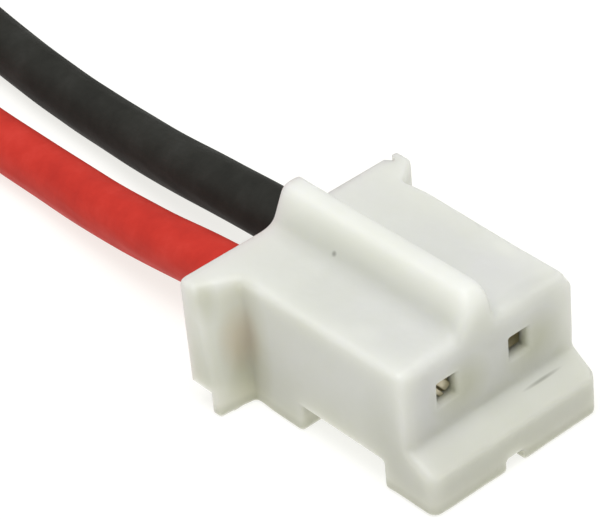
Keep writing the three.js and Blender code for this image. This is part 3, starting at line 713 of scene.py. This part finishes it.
def nylon_material():
    """White nylon that light soaks into, with its marks, painted shade towards its foot and in its
    hollows, and painted light on its ridge and the lip's slope.
    """
    made = new_material(
        "white_nylon", (0.68, 0.685, 0.65), 0.42, Subsurface_Weight=1.0, Subsurface_Scale=0.001,
        Specular_IOR_Level=0.25)
    shader_of(made).inputs["Subsurface Radius"].default_value = (1.0, 1.0, 0.88)
    white = (1, 1, 1)
    tone = ramp(made, noise(made, 420, 3, 0.5), "Fac",
                [(0.3, (0.66, 0.667, 0.615)), (0.55, (0.685, 0.69, 0.65)), (0.75, (0.7, 0.7, 0.68))])
    # Painted shade: the colour darkens towards the foot, standing in for a soft contact shadow.
    painted_shade_and_light = ramp(made, rise(made, 0, 2.6), "Result", [(0, (0.8, 0.795, 0.76)), (1, white)])
    tone = multiplied(made, tone, "Color", painted_shade_and_light)
    # Painted shade in the lowest 0.35 mm, and a painted highlight over the ridge above 3.3 mm.
    for low, high, bottom, top in ((0, 0.35, (0.6, 0.6, 0.57), white),
                                   (3.3, 4.0, white, (1.12, 1.12, 1.13))):
        painted_shade_and_light = ramp(made, rise(made, low, high), "Result", [(0, bottom), (1, top)])
        tone = multiplied(made, tone, MIX_RESULT, painted_shade_and_light)
    for (x, y, z), reach, tint in NYLON_MARKS_AND_PAINTED_LIGHT:
        spot = ramp(made, patch(made, (x + PLUG_X, y + PLUG_Y, z), reach), "Fac",
                    [(0, white), (0.7, tint)])
        tone = multiplied(made, tone, MIX_RESULT, spot)
    wire(made, tone, MIX_RESULT, shader_of(made), "Base Color")
    fine = noise(made, 5200, 4, 0.6)
    wave = noise(made, 1300, 2, 0.5)
    rough_from(made, fine, 0.38, 0.52)
    bump_from(made, (wave, 1.2e-5), (fine, 3e-6))
    return made


housing = make_housing(nylon_material())
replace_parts(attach(housing, ROOT), "plug_housing")


# ---- shapes made from the CAD's own solids ----

def refined(name, part, width, made, segments=2):
    """A CAD node's solid with its flat faces merged and its edges rounded by width millimetres."""
    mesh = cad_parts[part].data.copy()
    bm = bmesh.new()
    bm.from_mesh(mesh)
    bmesh.ops.remove_doubles(bm, verts=bm.verts, dist=2e-6)
    bmesh.ops.dissolve_limit(bm, angle_limit=math.radians(1), verts=bm.verts, edges=bm.edges)
    edges = [e for e in bm.edges if e.is_manifold and e.calc_face_angle() > math.radians(25)]
    bmesh.ops.bevel(bm, geom=edges, offset=width * MM, segments=segments, profile=0.5,
                    affect="EDGES", clamp_overlap=True)
    bm.to_mesh(mesh)
    bm.free()
    obj = link(bpy.data.objects.new(name, mesh))
    smooth(obj, 40)
    return paint(obj, made)


def stands_for(obj, part):
    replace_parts(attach(obj, ROOT), part)


def from_cad(name, part, width, made, segments=2):
    """A piece with the CAD solid's own shape, refined."""
    stands_for(refined(name, part, width, made, segments), part)


def ripple(x, y, size, seed):
    """Smooth noise between -1 and 1, with features of that size in millimetres."""
    return turbulence.noise(Vector((x / size + seed, y / size, seed)))


# ---- materials of the pack ----

def laminate_material():
    """Satin aluminium with rolling lines along the pack and faint dents."""
    made = new_material("aluminium_laminate", (0.62, 0.63, 0.64), 0.36, 0.85)
    cloudy(made, 260, 4, [(0.3, (0.56, 0.57, 0.58)), (0.6, (0.65, 0.66, 0.67))], 0.55)
    lines = noise(made, 2400, 3, 0.6, (1, 0.03, 1))
    rough_from(made, lines, 0.3, 0.46)
    dents = noise(made, 190, 2, 0.5)
    bump_from(made, (dents, 1.2e-4), (lines, 6e-6))
    return made


def film_material():
    """Amber polyimide tape, a little see-through, with faint bubbles under it."""
    made = new_material("amber_film", (0.72, 0.21, 0.004), 0.2, Specular_IOR_Level=0.6,
                        Alpha=0.5, Coat_Weight=0.5, Coat_Roughness=0.12)
    cloudy(made, 230, 3, [(0.3, (0.66, 0.17, 0.003)), (0.7, (0.78, 0.25, 0.008))], 0.5)
    bubbles = noise(made, 900, 3, 0.6)
    rough_from(made, bubbles, 0.16, 0.3)
    bump_from(made, (noise(made, 160, 2, 0.5), 1e-4), (bubbles, 1.2e-5))
    return made


def metal_material(name, dark, bright, roughness, scale, stretch=(1, 1, 1), grain=4e-6):
    """Bare metal with a drawn or rolled grain and uneven tarnish."""
    made = new_material(name, bright, roughness, 1.0)
    cloudy(made, scale, 4, [(0.35, dark), (0.62, bright)])
    lines = noise(made, scale * 6, 3, 0.6, stretch)
    rough_from(made, lines, roughness - 0.08, roughness + 0.12)
    bump_from(made, (lines, grain))
    return made


def matt_material(name, dark, bright, roughness, scale, depth):
    """A dull surface with cloudy tone and a grain of that depth in metres."""
    made = new_material(name, bright, roughness, Specular_IOR_Level=0.4)
    cloudy(made, scale, 4, [(0.3, dark), (0.7, bright)])
    grain = noise(made, scale * 5, 3, 0.6)
    rough_from(made, grain, roughness - 0.08, roughness + 0.08)
    bump_from(made, (grain, depth))
    return made


def board_material():
    """Green solder mask over copper tracks, which show as paler squared lines."""
    made = new_material("green_solder_mask", (0.012, 0.11, 0.04), 0.34, Coat_Weight=0.4,
                        Coat_Roughness=0.2)
    place = node(made, "ShaderNodeTexCoord")
    tracks = node(made, "ShaderNodeTexBrick", offset=0.37, squash=1.6, squash_frequency=3,
                  Scale=900.0, Color1=(0.008, 0.085, 0.03, 1), Color2=(0.012, 0.11, 0.04, 1),
                  Mortar=(0.03, 0.2, 0.075, 1), Mortar_Size=0.09, Mortar_Smooth=0.2,
                  Brick_Width=1.1, Row_Height=0.42)
    wire(made, place, "Object", tracks, "Vector")
    wire(made, tracks, "Color", shader_of(made), "Base Color")
    rough_from(made, noise(made, 1500, 3, 0.5), 0.28, 0.42)
    bump_from(made, (tracks, 2.5e-5))
    return made


laminate = laminate_material()
film = film_material()
foil = metal_material("aluminium_foil", (0.6, 0.61, 0.62), (0.76, 0.77, 0.78), 0.36, 500,
                      (1, 0.05, 1))
nickel = metal_material("nickel_strip", (0.5, 0.47, 0.42), (0.66, 0.63, 0.58), 0.3, 600,
                        (1, 0.05, 1))
solder = metal_material("tin_solder", (0.5, 0.51, 0.52), (0.72, 0.73, 0.74), 0.24, 900, grain=1e-5)
copper = metal_material("tinned_strand", (0.5, 0.42, 0.34), (0.7, 0.64, 0.56), 0.34, 1400)
brass = metal_material("tinned_brass", (0.4, 0.35, 0.24), (0.6, 0.55, 0.43), 0.42, 1100, (1, 0.1, 1))
sealant = matt_material("sealing_film", (0.45, 0.42, 0.32), (0.62, 0.59, 0.48), 0.5, 700, 8e-6)
foam = matt_material("white_foam", (0.6, 0.6, 0.56), (0.8, 0.8, 0.77), 0.95, 2600, 6e-5)
epoxy = matt_material("black_epoxy", (0.008, 0.008, 0.009), (0.018, 0.018, 0.019), 0.55, 1800,
                      8e-6)
ceramic = matt_material("tan_ceramic", (0.3, 0.2, 0.11), (0.42, 0.3, 0.18), 0.5, 2200, 6e-6)
carbon = matt_material("electrode_layers", (0.012, 0.012, 0.013), (0.035, 0.035, 0.037), 0.8, 900,
                       2e-5)
green_board = board_material()


# ---- pouch ----

CUP_TO_FRONT = 4.0     # length of the terrace in front of the drawn cup
CUP_WALL = 0.2
CUP_EDGE = 0.75        # rounding of the cup's top edge
CUP_CORNER = 1.6
TERRACE_TOP = 0.85
TERRACE_FOOT = 0.67
TERRACE_COLUMNS = 56


def make_cup():
    """The drawn cup with rounded top edges and a faintly uneven top, and its sealed terrace."""
    low, high = lo("pouch_cup"), hi("pouch_cup")
    front, top = low.y + CUP_TO_FRONT, high.z
    rings = []

    def add(inset, z, crown=0.0):
        ring = rounded_ring(low.x + inset, -low.x - inset, front + inset, high.y - inset,
                            max(CUP_CORNER - inset, 0.2), 8, 24)
        rings.append([(x, y, z - crown * (0.5 + 0.5 * ripple(x, y, 5, 3))) for x, y in ring])

    add(0.0, low.z)
    add(0.0, low.z + 1.2)
    add(0.02, top - 1.4)
    for degrees in range(0, 91, 15):
        turn = math.radians(degrees)
        add(0.03 + CUP_EDGE * (1 - math.cos(turn)), top - CUP_EDGE * (1 - math.sin(turn)))
    for inset in (1.1, 1.6, 2.4, 3.4, 4.6, 6, 7.6, 9.4, 11.4):
        add(inset, top, 0.07)
    inner = [[(x * 0.983, y * 0.985 + 0.03, max(low.z, z - CUP_WALL)) for x, y, z in ring]
             for ring in reversed(rings)]
    points, faces = loft(rings + inner, False)
    # The innermost rings of the two skins are closed, not joined to each other.
    side = len(rings[0])
    turn_back = len(rings) * side
    faces = [f for f in faces if min(f) < turn_back - side or max(f) >= turn_back + side]
    faces.append(tuple(range(turn_back - side, turn_back)))
    faces.append(tuple(range(turn_back, turn_back + side)))
    half = -low.x - 0.6
    lip = []
    for k in range(TERRACE_COLUMNS + 1):
        x = -half + 2 * half * k / TERRACE_COLUMNS
        lift = 0.03 * ripple(x, 0, 1.5, 7)
        lip.append([(x, low.y, TERRACE_FOOT), (x, low.y, TERRACE_TOP - 0.06),
                    (x, low.y + 0.06, TERRACE_TOP),
                    (x, low.y + 1.2, TERRACE_TOP - 0.02 + lift * 0.5),
                    (x, low.y + 2.6, TERRACE_TOP - 0.03 - abs(lift)),
                    (x, front + 0.15, TERRACE_TOP), (x, front + 0.15, TERRACE_FOOT)])
    more, more_faces = loft(lip)
    faces += [tuple(len(points) + i for i in f) for f in more_faces]
    return skin("pouch_cup_skin", (points + more, faces), laminate, 45)


stands_for(make_cup(), "pouch_cup")
from_cad("pouch_back_skin", "pouch_back_sheet", 0.09, laminate, 3)
from_cad("wound_electrodes", "electrode_roll", 0.12, carbon, 3)
for side, metal, slot_name in (("positive", foil, "aluminium_tab"), ("negative", nickel, "nickel")):
    from_cad(side + "_tab_strip", side + "_tab", 0.03, metal)
    from_cad(side + "_sealing_film", side + "_tab_sealant", 0.05, sealant)


# ---- protection board ----

BROKEN_EDGE = 0.02
DIMPLE = 0.045         # depth of a weld dimple
CHIP_BODY = 0.81       # from a chip's middle to its legs
END_CAP = 0.22         # length of a resistor's or capacitor's metal ends


def weld_plate(side):
    """A nickel plate with broken edges and two rows of weld dimples."""
    low, high = lo(side + "_weld_plate"), hi(side + "_weld_plate")
    columns, rows = 36, 28
    spots = [(low.x + (high.x - low.x) * (i + 1) / 5, low.y + (high.y - low.y) * (j + 1) / 3)
             for i in range(4) for j in range(2)]
    points = []
    for level, inward in ((high.z, -1), (low.z, 1)):
        for j in range(rows + 1):
            for i in range(columns + 1):
                x = low.x + (high.x - low.x) * i / columns
                y = low.y + (high.y - low.y) * j / rows
                z = level
                if min(i, columns - i, j, rows - j) == 0:
                    z += inward * BROKEN_EDGE
                if inward < 0:
                    z -= sum(DIMPLE * math.exp(-((x - a) ** 2 + (y - b) ** 2) / 0.02)
                             for a, b in spots)
                points.append((x, y, z))
    count = len(points) // 2

    def at(i, j):
        return j * (columns + 1) + i

    faces = []
    for base in (0, count):
        faces += [(base + at(i, j), base + at(i + 1, j), base + at(i + 1, j + 1), base + at(i, j + 1))
                  for i in range(columns) for j in range(rows)]
    for j in (0, rows):
        faces += [(at(i, j), at(i + 1, j), count + at(i + 1, j), count + at(i, j))
                  for i in range(columns)]
    for i in (0, columns):
        faces += [(at(i, j), at(i, j + 1), count + at(i, j + 1), count + at(i, j))
                  for j in range(rows)]
    return skin(side + "_plate", (points, faces), nickel, 60)


for side in ("positive", "negative"):
    stands_for(weld_plate(side), side + "_weld_plate")
from_cad("foam_strip", "foam_pad", 0.08, foam, 3)
from_cad("circuit_board", "protection_board", 0.03, green_board)


def two_tone(obj, second, test):
    """Gives a second material to the faces whose middle, in millimetres, passes the test."""
    obj.data.materials.append(second)
    for face in obj.data.polygons:
        if test(face.center / MM):
            face.material_index = 1
    return obj


for name in ("protection_chip", "switch_chip"):
    middle = (lo(name).y + hi(name).y) / 2
    stands_for(two_tone(refined(name + "_package", name, 0.04, epoxy), solder,
                        lambda p: abs(p.y - middle) > CHIP_BODY), name)
for name, body, slot_name in (("sense_resistor", epoxy, "chip"), ("supply_resistor", epoxy, "chip"),
                              ("supply_capacitor", ceramic, "ceramic")):
    caps = lo(name).y + END_CAP, hi(name).y - END_CAP
    piece = refined(name + "_chip", name, 0.03, body)
    bm = bmesh.new()
    bm.from_mesh(piece.data)
    for y in caps:
        bmesh.ops.bisect_plane(bm, geom=bm.verts[:] + bm.edges[:] + bm.faces[:],
                               plane_co=(0, y * MM, 0), plane_no=(0, 1, 0))
    bm.to_mesh(piece.data)
    bm.free()
    smooth(piece, 40)
    stands_for(two_tone(piece, solder, lambda p: p.y < caps[0] or p.y > caps[1]), name)


# ---- solder joints and strands ----

HEAP_RINGS, HEAP_SIDES = 15, 36
STRANDS = 7
STRAND_R = 0.078
LAY_R = 0.155          # from the bundle's middle to the outer strands
LAY_TWIST = 0.55       # radians per millimetre


def solder_heap(side, seed):
    """A rounded heap, uneven where the strands run in."""
    low, high = lo(side + "_solder_joint"), hi(side + "_solder_joint")
    centre = (low + high) / 2
    reach = (high.x - low.x) / 2
    rings = []
    for k in range(HEAP_RINGS):
        angle = math.radians(90 * k / 14.4)
        radius = reach * (0.97 * math.cos(angle) ** 0.72)
        z = low.z + (high.z - low.z) * math.sin(angle)
        rings.append([])
        for n in range(HEAP_SIDES):
            turn = 2 * math.pi * n / HEAP_SIDES
            uneven = 1 + 0.035 * ripple(3 * math.cos(turn), 3 * math.sin(turn) + k * 0.2, 1.6, seed)
            rings[-1].append((centre.x + radius * uneven * math.cos(turn),
                              centre.y + radius * uneven * math.sin(turn), z))
    return skin(side + "_solder_heap", loft(rings), solder, 60)


def strand_bundle(name, line):
    """Tinned strands twisted together, from the crimp to the solder."""
    along = Vector((0, 1, 0))
    whole = [line[0] - along * reach for reach in (0.75, 0.5, 0.25)] + line
    whole += [line[-1] + along * reach for reach in (0.4, 0.8, 1.2, 1.55)]
    frames = frames_along(whole)
    shapes = []
    for strand in range(STRANDS):
        spread = 0 if strand == STRANDS - 1 else LAY_R
        rings = []
        gone = 0.0
        for i, (point, normal, side) in enumerate(frames):
            if i:
                gone += (point - whole[i - 1]).length
            turn = strand * math.pi / 3 + gone * LAY_TWIST
            middle = point + spread * (math.cos(turn) * normal + math.sin(turn) * side)
            rings.append(circle(middle, STRAND_R, normal, side, 8))
        shapes.append(loft(rings))
    bundle = joined(name, shapes)
    smooth(bundle, 50)
    return to_metres(paint(bundle, copper))


for side, seed in (("positive", 2.0), ("negative", 5.0)):
    stands_for(solder_heap(side, seed), side + "_solder_joint")
red_strands = strand_bundle("red_lead_wires", red_line)
black_strands = strand_bundle("black_lead_wires", black_line)
stands_for(red_strands, "red_lead_strands")
stands_for(black_strands, "black_lead_strands")


# ---- contacts ----
# Curves are in Y and Z from the plug's origin. Leaves are (turn, middle, half width, half
# thickness, from, to).

SPRING = ((2.8, 1.75), (2.1, 2.0), (1.4, 2.22), (0.95, 2.24), (0.6, 2.12), (0.34, 1.9))
STRIP = ((2.7, 1.71), (3.0, 1.7), (3.45, 1.27), (4.2, 1.27), (4.45, 0.87), (5.35, 0.87))
TONGUE = ((1.55, 1.69), (2.0, 1.5), (2.5, 1.2))
BARREL_Z = 1.6         # the lead's middle in the crimps
FORK = math.radians(-52)
LEAVES = ((FORK, (-0.03, 2.25), 0.26, 0.1, 0.22, 1.2), (FORK, (-0.15, 2.08), 0.24, 0.055, 0.2, 1.2))
# The spring box's walls, outside and then inside: half width, half height and corner, then the
# rings' places in Y with how much each grows.
WALLS = ((0.6, 0.58, 0.14, ((0.33, -0.02), (0.36, 0), (2.87, 0), (2.9, -0.02))),
         (0.47, 0.45, 0.06, ((2.9, 0), (0.33, 0))))


def ribbon(line, thickness, x0, x1, lean=0.0):
    """Sheet metal along a curve in Y and Z, between x0 and x1, leaning by lean per millimetre."""
    curve = smooth_line([Vector((0, y, z)) for y, z in line], 6)
    rings = []
    for point, up, _ in frames_along(curve):
        half = up * (thickness / 2)
        rings.append([(x, *(point + sign * half + Vector((0, 0, lean * x))).yz)
                      for x, sign in ((x0, -1), (x1, -1), (x1, 1), (x0, 1))])
    return loft(rings)


def blade(turn, centre, half_width, half_thick, y0, y1):
    """A straight leaf along Y, turned by that angle about its own middle."""
    section = [(a * math.cos(turn) - b * math.sin(turn), a * math.sin(turn) + b * math.cos(turn))
               for a, b in rounded_ring(-half_width, half_width, -half_thick, half_thick,
                                        half_thick * 0.6, 3, 2)]
    return loft([[(centre[0] + a * k, y, centre[1] + b * k) for a, b in section]
                 for y, k in ((y0, 0.8), (y0 + 0.02, 1), (y1, 1))])


def crimp(inner, outer, y0, y1, opening):
    """A barrel closed over the lead, slightly flared at both ends, open by that angle on top."""
    angles = [math.pi / 2 + opening + (2 * math.pi - 2 * opening) * k / 30 for k in range(31)]
    rings = []
    steps = 9
    for i in range(steps + 1):
        y = y0 + (y1 - y0) * i / steps
        flare = 0.03 * (abs(2 * i / steps - 1) ** 4)
        rings.append([(r * math.cos(a), y, BARREL_Z + r * math.sin(a))
                      for r, turns in ((outer - 0.03 + flare, angles), (inner + flare, angles[::-1]))
                      for a in turns])
    return loft(rings)


def make_contact(name, x, lean, leaves):
    """Spring box, contact spring, locking tongue, strip and two crimps, folded from one sheet."""
    walls = [[(a, y, b) for a, b in rounded_ring(
        -half - grow, half + grow, HOLE_Z - high - grow, HOLE_Z + high + grow, corner, 5, 3)]
        for half, high, corner, stations in WALLS for y, grow in stations]
    shapes = [
        loft(walls, False),
        ribbon(SPRING, 0.09, -0.3, 0.3, lean),
        ribbon(STRIP, 0.12, -0.38, 0.38),
        ribbon(TONGUE, 0.11, -0.22, 0.22),
        crimp(0.29, 0.4, 3.6, 4.15, 0.1),
        crimp(0.68, 0.79, 4.5, 5.35, 0.7),
    ] + [blade(*leaf) for leaf in leaves]
    obj = joined(name, [at_plug(([(p[0] + x, p[1], p[2]) for p in points], faces))
                        for points, faces in shapes])
    smooth(obj, 40)
    return to_metres(paint(obj, brass))


positive_terminal = make_contact("positive_terminal", -PITCH / 2, 0.2, LEAVES)
negative_terminal = make_contact("negative_terminal", PITCH / 2, 0.0, ())
stands_for(positive_terminal, "positive_contact")
stands_for(negative_terminal, "negative_contact")


# ---- tape ----

FILM = 0.1             # thickness of the head tape
SLOPE_END = -16.7      # where the head tape starts to slope down, in Y
FRONT_HEIGHT = 3.9
SLOT_HALF = 1.8        # the slot for the leads
SLOT_Z = 2.69
SLOT_RISE = 0.8        # half its height
TAPE_LAP = 2.0         # how far an edge tape comes in over the pouch


def make_head_tape():
    """A sleeve over the pack's head, closed in front but for a slot for the leads."""
    low, high = lo("head_tape"), hi("head_tape")

    def ring(y, height, inset, radius):
        r = max(radius - inset, 0.06)
        return [(x, y, z) for x, z in rounded_ring(low.x + inset, high.x - inset, inset,
                                                   height - inset, r, 6, 30)]

    def creased(ring_points, depth):
        made = []
        for x, y, z in ring_points:
            fold = 0.05 * (1 + ripple(x, z * 2 + y, 1.8, 4)) * depth
            pull = 1 - fold / max(abs(x), 4)
            made.append((x * pull, y + 0.4 * fold, z - fold * 0.6 if z > 2.5 else z))
        return made

    def shell(inset):
        rings = [ring(high.y - (high.y - SLOPE_END) * k / 8, high.z, inset, 0.5) for k in range(9)]
        for k in range(1, 9):
            share = k / 8
            rings.append(ring(SLOPE_END + (low.y + 0.25 - SLOPE_END) * share,
                              high.z + (FRONT_HEIGHT + 0.07 - high.z) * share, inset, 0.5))
        rings.append(ring(low.y + 0.08 + inset, FRONT_HEIGHT, inset + 0.07, 0.5))
        rings.append(ring(low.y + inset, FRONT_HEIGHT, inset + 0.25, 0.6))
        rings = [creased(r, min(1, i / 4)) for i, r in enumerate(rings)]
        face = rings[-1] = [(x, low.y + inset, z) for x, y, z in rings[-1]]
        slot = rounded_ring(-SLOT_HALF, SLOT_HALF, SLOT_Z - SLOT_RISE, SLOT_Z + SLOT_RISE, 0.3, 6, 30)
        for share in (0.25, 0.5, 0.75, 1.0):
            pucker = 0.25 * math.sin(math.pi * share)
            rings.append([(x + (slot_x - x) * share,
                           low.y + inset + pucker * (0.5 + 0.5 * ripple(x, z * 2, 1.2, 9)),
                           z + (slot_z - z) * share)
                          for (x, _, z), (slot_x, slot_z) in zip(face, slot)])
        return rings

    rings = shell(0.0) + shell(FILM)[::-1]
    return skin("head_tape_wrap", loft(rings, False), film, 50)


def make_edge_tape(name, part, side):
    """A strip folded round a long edge; its laps lie a little unevenly."""
    low, high = lo(part), hi(part)
    out = high.x if side > 0 else -low.x
    lap = out - TAPE_LAP
    turns = [math.radians(a) for a in range(0, 91, 15)]
    rings = []
    stations = 60
    for k in range(stations + 1):
        y = low.y + (high.y - low.y) * k / stations
        wave = 0.06 * (ripple(y, side * 3, 3.0, 6) - 1)
        section = []
        for r, inset in ((0.45, 0.0), (0.36, 0.09)):
            arc = [(lap - wave, inset)]
            arc += [(out - r - inset + r * math.sin(t), r + inset - r * math.cos(t)) for t in turns]
            arc += [(out - r - inset + r * math.cos(t), high.z - r - inset + r * math.sin(t))
                    for t in turns]
            arc += [(lap - wave * 0.7, high.z - inset)]
            section += arc if inset == 0 else arc[::-1]
        rings.append([(side * x, y, z) for x, z in section])
    stands_for(skin(name, loft(rings), film, 50), part)


stands_for(make_head_tape(), "head_tape")
make_edge_tape("left_edge_wrap", "left_edge_tape", -1)
make_edge_tape("right_edge_wrap", "right_edge_tape", 1)


# ---- room ----

FLOOR_HALF = 900
FLOOR_FOOT, FLOOR_TOP = -20, -0.02     # its top lies just clear of the part
FLOOR_GREY = (0.26, 0.26, 0.26)
FLOOR_GLOW = (1, 1, 0.96, 1)           # gives the photo's white ground
FLOOR_GLOW_STRENGTH = 0.78
WORLD_COLOUR = (1, 1, 0.9, 1)
WORLD_STRENGTH = 0.34
KEY_TARGET = Vector((0, -28, 0))
KEY_PLACE = KEY_TARGET + Vector((-70, -90, 430))
KEY_SIZE = 320
KEY_POWER = 1.85
KEY_COLOUR = (0.97, 0.98, 1)


def make_room():
    slab = box_mesh(-FLOOR_HALF, FLOOR_HALF, -FLOOR_HALF, FLOOR_HALF, FLOOR_FOOT, FLOOR_TOP)
    pale = new_material("pale_floor", FLOOR_GREY, 0.9, Emission_Color=FLOOR_GLOW,
                        Emission_Strength=FLOOR_GLOW_STRENGTH)
    skin("floor", slab, pale)
    scene = bpy.context.scene
    scene.view_settings.view_transform = "Standard"
    world = bpy.data.worlds.new("studio")
    scene.world = world
    world.use_nodes = True
    sky = world.node_tree.nodes["Background"].inputs
    sky["Color"].default_value = WORLD_COLOUR
    sky["Strength"].default_value = WORLD_STRENGTH


def make_key_light():
    """One broad soft light from high above the leads."""
    data = bpy.data.lights.new("key", "AREA")
    data.color = KEY_COLOUR
    data.shape = "SQUARE"
    data.size = KEY_SIZE * MM
    data.energy = KEY_POWER
    lamp = link(bpy.data.objects.new("key", data))
    lamp.location = KEY_PLACE * MM
    lamp.rotation_mode = "QUATERNION"
    lamp.rotation_quaternion = (KEY_TARGET - KEY_PLACE).to_track_quat("-Z", "Y")


make_room()
make_key_light()


# ---- leads: on the body, in place of the CAD's insulation ----

for lead, line, colour, pieces in (
        (red_lead, red_line, "red", [red_strands, positive_terminal, housing]),
        (black_lead, black_line, "black", [black_strands, negative_terminal, housing])):
    stands_for(lead, colour + "_lead_insulation")
